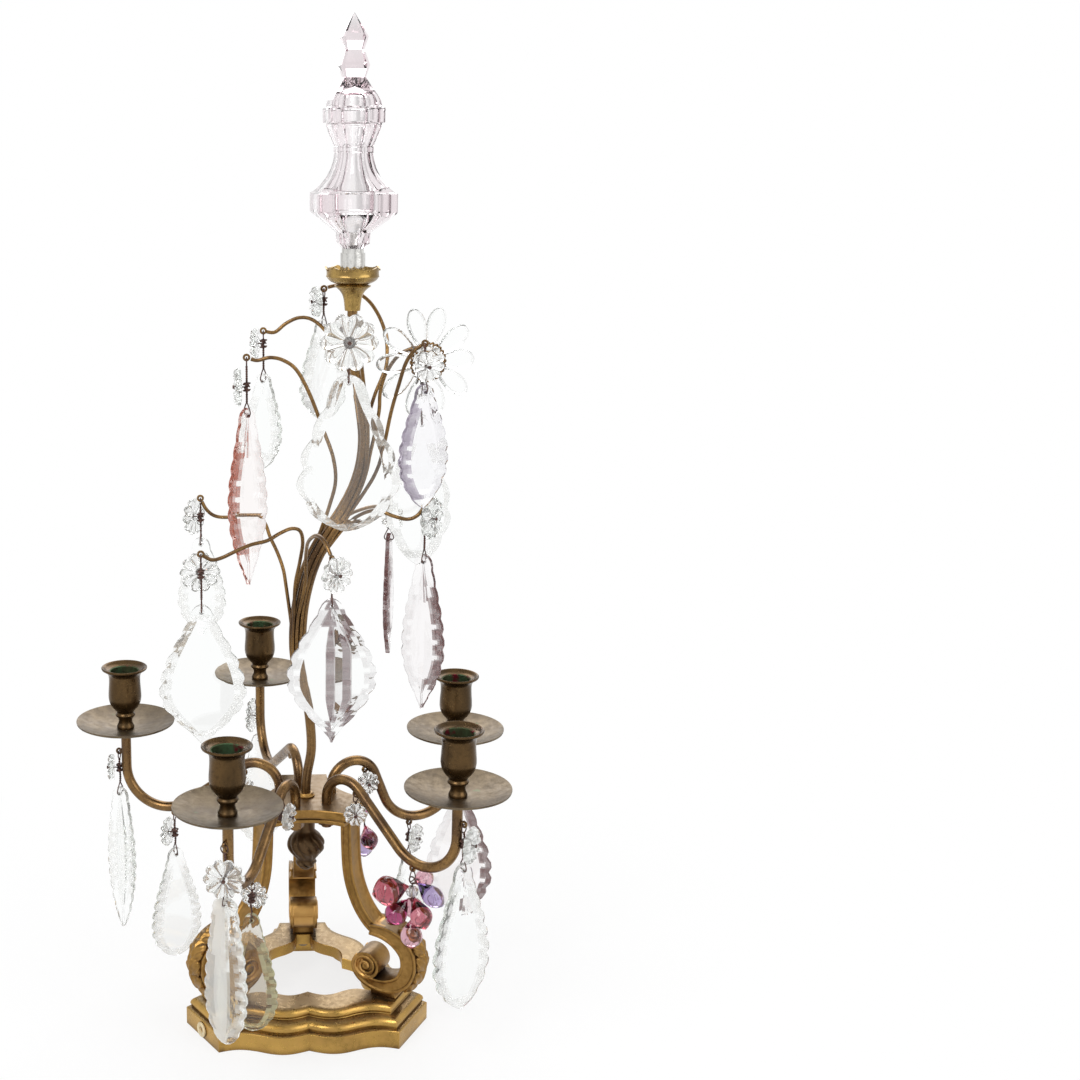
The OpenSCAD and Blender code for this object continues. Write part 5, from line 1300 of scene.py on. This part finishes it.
class GIRANDOLE_OT_rosettes(bpy.types.Operator):
    """Sets the glass rosettes on their knots and builds the daisy"""

    bl_idname = "girandole.rosettes"
    bl_label = "Rosettes and daisy"

    def execute(self, context):
        petals = context.scene.girandole_sizes.petals
        shape = new_object("rosette_shape", *rosette_shape(petals))
        # A groove, not a petal, is at the top, where the wire passes behind the glass
        half_petal = 180 / petals
        on_tree, on_arms = [], []
        for eye, way, tied, radius, face, body in drops():
            if radius:
                at = eye - np.array([0, 0, tied]) + toward(face) * ROSETTE_OUT
                group = on_tree if body in ROSETTES else on_arms
                group.append((at, (90, half_petal, face + 90), (radius, radius, ROSETTE_H)))
        set_pieces("rosettes_tree_cut", shape, on_tree, finish("pressed"),
                   ["rosettes_on_tree"])
        set_pieces("rosettes_arms_cut", shape, on_arms, finish("pressed"),
                   ["rosettes_on_arms"])
        self.daisy(shape)
        discard(shape)
        return {"FINISHED"}

    def daisy(self, shape):
        """A rosette as the heart, with petals round it in two layers, on a wire basket."""
        middle = branch_line("daisy")[-1] - np.array([0, 0, DAISY_DOWN]) + toward(DAISY_FACE) * DAISY_OUT
        heart = (middle + toward(DAISY_FACE) * HEART_OUT, (90, 0, DAISY_FACE + 90),
                 (HEART_R, HEART_R, HEART_H))
        set_pieces("daisy_heart", shape, [heart], finish("pressed"), ["daisy_hub"])

        def half(t):
            plain = PETAL_HALF * max(0.02, math.sin(math.pi * t ** 1.5)) ** 0.5
            return plain * (1 - 0.03 * (1 - abs(math.sin(9 * math.pi * t)))), max(0.2, plain - PETAL_BORDER)

        # The rows lie closer together towards both ends
        share = np.arange(37) / 36
        rows = 0.5 * share + 0.25 * (1 - np.cos(math.pi * share))
        petal = new_object("petal_shape",
                           *leaf_plate(PETAL_LENGTH, half, rows, 0.6, 1.4, PETAL_BORDER, 1.0, 0))
        mark_cuts(petal.data, 0.45, 0.16)
        stood = upright(DAISY_FACE)
        turn = np.array(stood)
        places = []
        for k in range(1, PETALS + 1):
            angle = math.radians(360 / PETALS * k)
            out = turn @ np.array([math.cos(angle), math.sin(angle), 0])
            at = middle + out * PETAL_FROM + toward(DAISY_FACE) * PETAL_LAYERS[k % 2]
            tip = (stood @ Euler((0, 0, angle + math.pi / 2)).to_matrix()).to_euler()
            places.append((at, [math.degrees(a) for a in tip], (1, 1, 1)))
        set_pieces("daisy_petals_cut", petal, places, finish("clear"), ["daisy_petals"],
                   crease=8)
        discard(petal)
        self.basket(middle, turn)

    def basket(self, middle, turn):
        """Two rings with bars between them round the roots of the petals, and a waved rim on spokes."""
        def spot(radius, angle, high):
            return middle + turn @ np.array([radius * math.cos(angle), radius * math.sin(angle), high])

        circle = np.linspace(0, 2 * math.pi, 41)
        gaps, lines = 2 * math.pi / PETALS * np.arange(PETALS), []
        lines.append([spot(7.6, a, 7.0) for a in circle])
        lines.append([spot(7.4, a, -0.3) for a in circle])
        lines += [[spot(7.5, a + math.pi / PETALS, high) for high in (-0.3, 3.5, 7)] for a in gaps]
        waves, wave = 24, 0.5
        lines.append([spot(12.8 + wave * math.cos(waves * a), a, 6.9 + wave * math.sin(waves * a))
                      for a in np.linspace(0, 2 * math.pi, 12 * waves + 1)])
        lines += [[spot(radius, a, 7.0) for radius in (7.6, 10, 12.6)] for a in gaps]
        drawn_wire("daisy_basket", lines, 0.7 * MM, 8, finish("tube"))


# Grapes of each cluster: way round, lean, radius, length, depth below the hole, offset of the tip and glass
GRAPES = {
    "grape_cluster": ((228, 80, 10.6, 27, 4.2, 1.9, "salmon"), (48, 45, 7.2, 27, 2, 3.5, "violet"),
                      (93, 85, 6.6, 22, 3, 2.2, "blush"), (223, 36, 8.1, 23.5, 14, 3, "magenta"),
                      (-2, 26, 7.9, 23.5, 12.2, 2.5, "salmon"), (123, 30, 7.4, 22, 14, 3.2, "blush"),
                      (0, 0, 7.9, 23.5, 28.8, 0, "blush")),
    "grape_pair": ((180, 44, 6.4, 20, 5, 1, "magenta"), (0, 44, 6.6, 20.5, 19, 1, "salmon"),
                   (0, 0, 6.8, 21.5, 24.3, 0, "violet")),
}


class GIRANDOLE_OT_grapes(bpy.types.Operator):
    """Hangs the glass grapes on their wires"""

    bl_idname = "girandole.grapes"
    bl_label = "Grapes"

    def execute(self, context):
        share = np.linspace(0, 1, 22)
        profile = [(max(0.0005, max(0, math.sin(math.pi * t ** 1.35)) ** 0.8), -t) for t in share]
        drop = new_object("grape_shape", *lathe(profile, turns=28, ends="open"))
        for body, members in GRAPES.items():
            hole, facing = swing_of(body)
            groups, tips = {}, []
            for around, lean, radius, drop_length, down, out, glass in members:
                angle = facing + 90 + around
                at = hole + toward(angle) * out - np.array([0, 0, down])
                tips.append([hole - np.array([0, 0, down]), at])
                groups.setdefault(glass, []).append((at, (0, -lean, angle), (radius, radius, drop_length)))
            for k, (glass, places) in enumerate(groups.items()):
                set_pieces(f"{body}_{glass}", drop, places, finish(glass),
                           () if k else [body], body, 80)
            # The last grape hangs on the end of the wire
            length, ring = members[-1][4], 2.6
            loop = [hole + toward(facing + 90) * ring * math.sin(a) + np.array([0, 0, ring * math.cos(a)])
                    for a in np.linspace(0, 2 * math.pi, 25)]
            wire = [hole - np.array([0, 0, d]) for d in np.linspace(2.4, length, 12)]
            ties = [np.linspace(*pair, 3) for pair in tips if np.linalg.norm(pair[1] - pair[0]) > 1]
            drawn_wire(body + "_wire", [loop, wire, *ties], 0.5 * MM, 8, finish("iron"), (),
                       body)
        bead = [(1.4, -4.0), (3.3, -3), (4.5, -1.4), (4.5, 1.4), (3.3, 3), (1.4, 4.0)]
        at = swing_of("grape_cluster")[0] - np.array([0, 0, 8.4])
        piece("grape_bead", [lathe(bead, at, 10)], finish("pressed"), (), "grape_cluster", 10)
        discard(drop)
        return {"FINISHED"}


class GIRANDOLE_OT_fasteners(bpy.types.Operator):
    """Finishes the hidden screws and nuts"""

    bl_idname = "girandole.fasteners"
    bl_label = "Screws and nuts"

    def execute(self, context):
        for node, name in (("leg_screws", "steel"), ("arm_nuts", "tube")):
            mesh = frame["nodes"][node].data
            mesh.materials.clear()
            mesh.materials.append(finish(name))
        return {"FINISHED"}


# Soft lights: place, aim, power in watts and size in metres
LIGHTS = {
    "Key": ((-1.3, -1.5, 1.9), (0, 0, 0.35), 34, 1.4),
    "Fill": ((1.6, -1.2, 1.2), (0, 0, 0.3), 16, 1.6),
    "Back": ((0.3, 1.8, 1.6), (0, 0, 0.4), 20, 1.6),
}


class GIRANDOLE_OT_stage(bpy.types.Operator):
    """Sets the floor, the soft light and the camera"""

    bl_idname = "girandole.stage"
    bl_label = "Stage"

    def execute(self, context):
        scene = context.scene
        scene.view_settings.view_transform = "Standard"
        self.world(scene)
        self.floor()
        for name, (place, aim, power, size) in LIGHTS.items():
            data = bpy.data.lights.new(name, "AREA")
            data.energy, data.size = power, size
            lamp = bpy.data.objects.new(name, data)
            lamp.location = place
            lamp.rotation_euler = (Vector(place) - Vector(aim)).to_track_quat("Z", "Y").to_euler()
            scene.collection.objects.link(lamp)
        # The lens, shift, place and tilt were fitted to the ellipses of the pans and cups
        data = bpy.data.cameras.new("Camera")
        data.sensor_width, data.lens = 36, 54.26
        data.shift_x, data.shift_y = 0.2168, -0.017
        camera = bpy.data.objects.new("Camera", data)
        camera.location = (-0.0411, -1.1201, 0.6328)
        camera.rotation_euler = (math.radians(90 - 12.93), 0, math.radians(-2.1))
        scene.collection.objects.link(camera)
        scene.camera = camera
        return {"FINISHED"}

    def seen(self, tree):
        """One for what the camera sees, straight or through glass and in reflections."""
        path = add(tree, "ShaderNodeLightPath")
        first = add(tree, "ShaderNodeMath",
                    {0: path.outputs["Is Camera Ray"], 1: path.outputs["Is Glossy Ray"]}, operation="ADD")
        return add(tree, "ShaderNodeMath", {0: first.outputs[0], 1: path.outputs["Is Transmission Ray"]},
                   operation="ADD", use_clamp=True).outputs[0]

    def world(self, scene):
        """White studio walls, with dark upright strips that give the glass and metal their outlines."""
        scene.world = bpy.data.worlds.new("Studio")
        scene.world.use_nodes = True
        tree = scene.world.node_tree
        tree.nodes.clear()
        way = add(tree, "ShaderNodeSeparateXYZ",
                  {"Vector": add(tree, "ShaderNodeTexCoord").outputs["Generated"]})
        angle = add(tree, "ShaderNodeMath", {0: way.outputs["Y"], 1: way.outputs["X"]}, operation="ARCTAN2")
        waves = add(tree, "ShaderNodeMath", {0: angle.outputs[0], 1: 5.0}, operation="MULTIPLY")
        strip = add(tree, "ShaderNodeMath", {0: waves.outputs[0]}, operation="COSINE")
        grey = add(tree, "ShaderNodeMapRange",
                   {"Value": strip.outputs[0], "From Min": 0.2, "From Max": 0.95, "To Min": 1.0,
                    "To Max": 0.68})
        path = add(tree, "ShaderNodeLightPath")
        level = add(tree, "ShaderNodeMath", {0: grey.outputs["Result"], 1: path.outputs["Is Camera Ray"]},
                    operation="MAXIMUM")
        seen = add(tree, "ShaderNodeBackground", {"Color": (1, 1, 1, 1), "Strength": level.outputs[0]})
        light = add(tree, "ShaderNodeBackground", {"Color": (1, 1, 1, 1), "Strength": 0.55})
        mixed = add(tree, "ShaderNodeMixShader",
                    {0: self.seen(tree), 1: light.outputs[0], 2: seen.outputs[0]})
        out = add(tree, "ShaderNodeOutputWorld", {"Surface": mixed.outputs[0]})
        out.is_active_output = True

    def floor(self):
        """Matt white floor that keeps a soft shadow."""
        made, tree, out, where = new_material("White paper")
        paper = add(tree, "ShaderNodeBsdfDiffuse", {"Color": (0.9, 0.9, 0.9, 1)})
        glow = add(tree, "ShaderNodeEmission", {"Color": (1, 1, 1, 1), "Strength": 1.0})
        far = add(tree, "ShaderNodeVectorMath", {0: where}, operation="LENGTH")
        fade = add(tree, "ShaderNodeMapRange",
                   {"Value": far.outputs["Value"], "From Min": 0.12, "From Max": 0.5, "To Min": 0.8,
                    "To Max": 1.0})
        share = add(tree, "ShaderNodeMath", {0: self.seen(tree), 1: fade.outputs["Result"]},
                    operation="MULTIPLY")
        mixed = add(tree, "ShaderNodeMixShader",
                    {0: share.outputs[0], 1: paper.outputs[0], 2: glow.outputs[0]})
        tree.links.new(mixed.outputs[0], out.inputs["Surface"])
        reach, under = 6000, -0.2
        corners = [(x * reach, y * reach, under) for x, y in ((-1, -1), (1, -1), (1, 1), (-1, 1))]
        sheet = new_object("Floor", corners, [(0, 1, 2, 3)])
        sheet.data.materials.append(made)


class GIRANDOLE_PT_panel(bpy.types.Panel):
    """Lists the steps and the settings"""

    bl_idname = "GIRANDOLE_PT_panel"
    bl_label = "Girandole"
    bl_space_type = "VIEW_3D"
    bl_region_type = "UI"
    bl_category = "Girandole"

    def draw(self, context):
        for step in STEPS:
            self.layout.operator(step.bl_idname)
        for group in (context.scene.girandole_metals, context.scene.girandole_glass,
                      context.scene.girandole_sizes):
            box = self.layout.box()
            for key in group.__annotations__:
                box.prop(group, key)


STEPS = (GIRANDOLE_OT_stage, GIRANDOLE_OT_base, GIRANDOLE_OT_legs, GIRANDOLE_OT_platform, GIRANDOLE_OT_lights,
         GIRANDOLE_OT_tree, GIRANDOLE_OT_finial, GIRANDOLE_OT_hooks, GIRANDOLE_OT_rosettes,
         GIRANDOLE_OT_pendants, GIRANDOLE_OT_grapes, GIRANDOLE_OT_fasteners)
GROUPS = (("girandole_metals", GirandoleMetals), ("girandole_glass", GirandoleGlass),
          ("girandole_sizes", GirandoleSizes))


def register():
    """Registers the settings, the operators and the panel."""
    for name, group in GROUPS:
        bpy.utils.register_class(group)
        setattr(bpy.types.Scene, name, bpy.props.PointerProperty(type=group))
    for step in (*STEPS, GIRANDOLE_PT_panel):
        bpy.utils.register_class(step)


def unregister():
    """Takes back what register did, in the other order."""
    for step in (GIRANDOLE_PT_panel, *reversed(STEPS)):
        bpy.utils.unregister_class(step)
    for name, group in reversed(GROUPS):
        delattr(bpy.types.Scene, name)
        bpy.utils.unregister_class(group)


def main():
    """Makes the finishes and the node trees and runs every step."""
    register()
    FINISH_NAMES.update({key: made.name for key, made in make_materials().items()})
    drawn_wire_tree()
    set_pieces_tree()
    for step in STEPS:
        group, name = step.bl_idname.split(".")
        getattr(getattr(bpy.ops, group), name)()


if __name__ == "__main__":
    main()
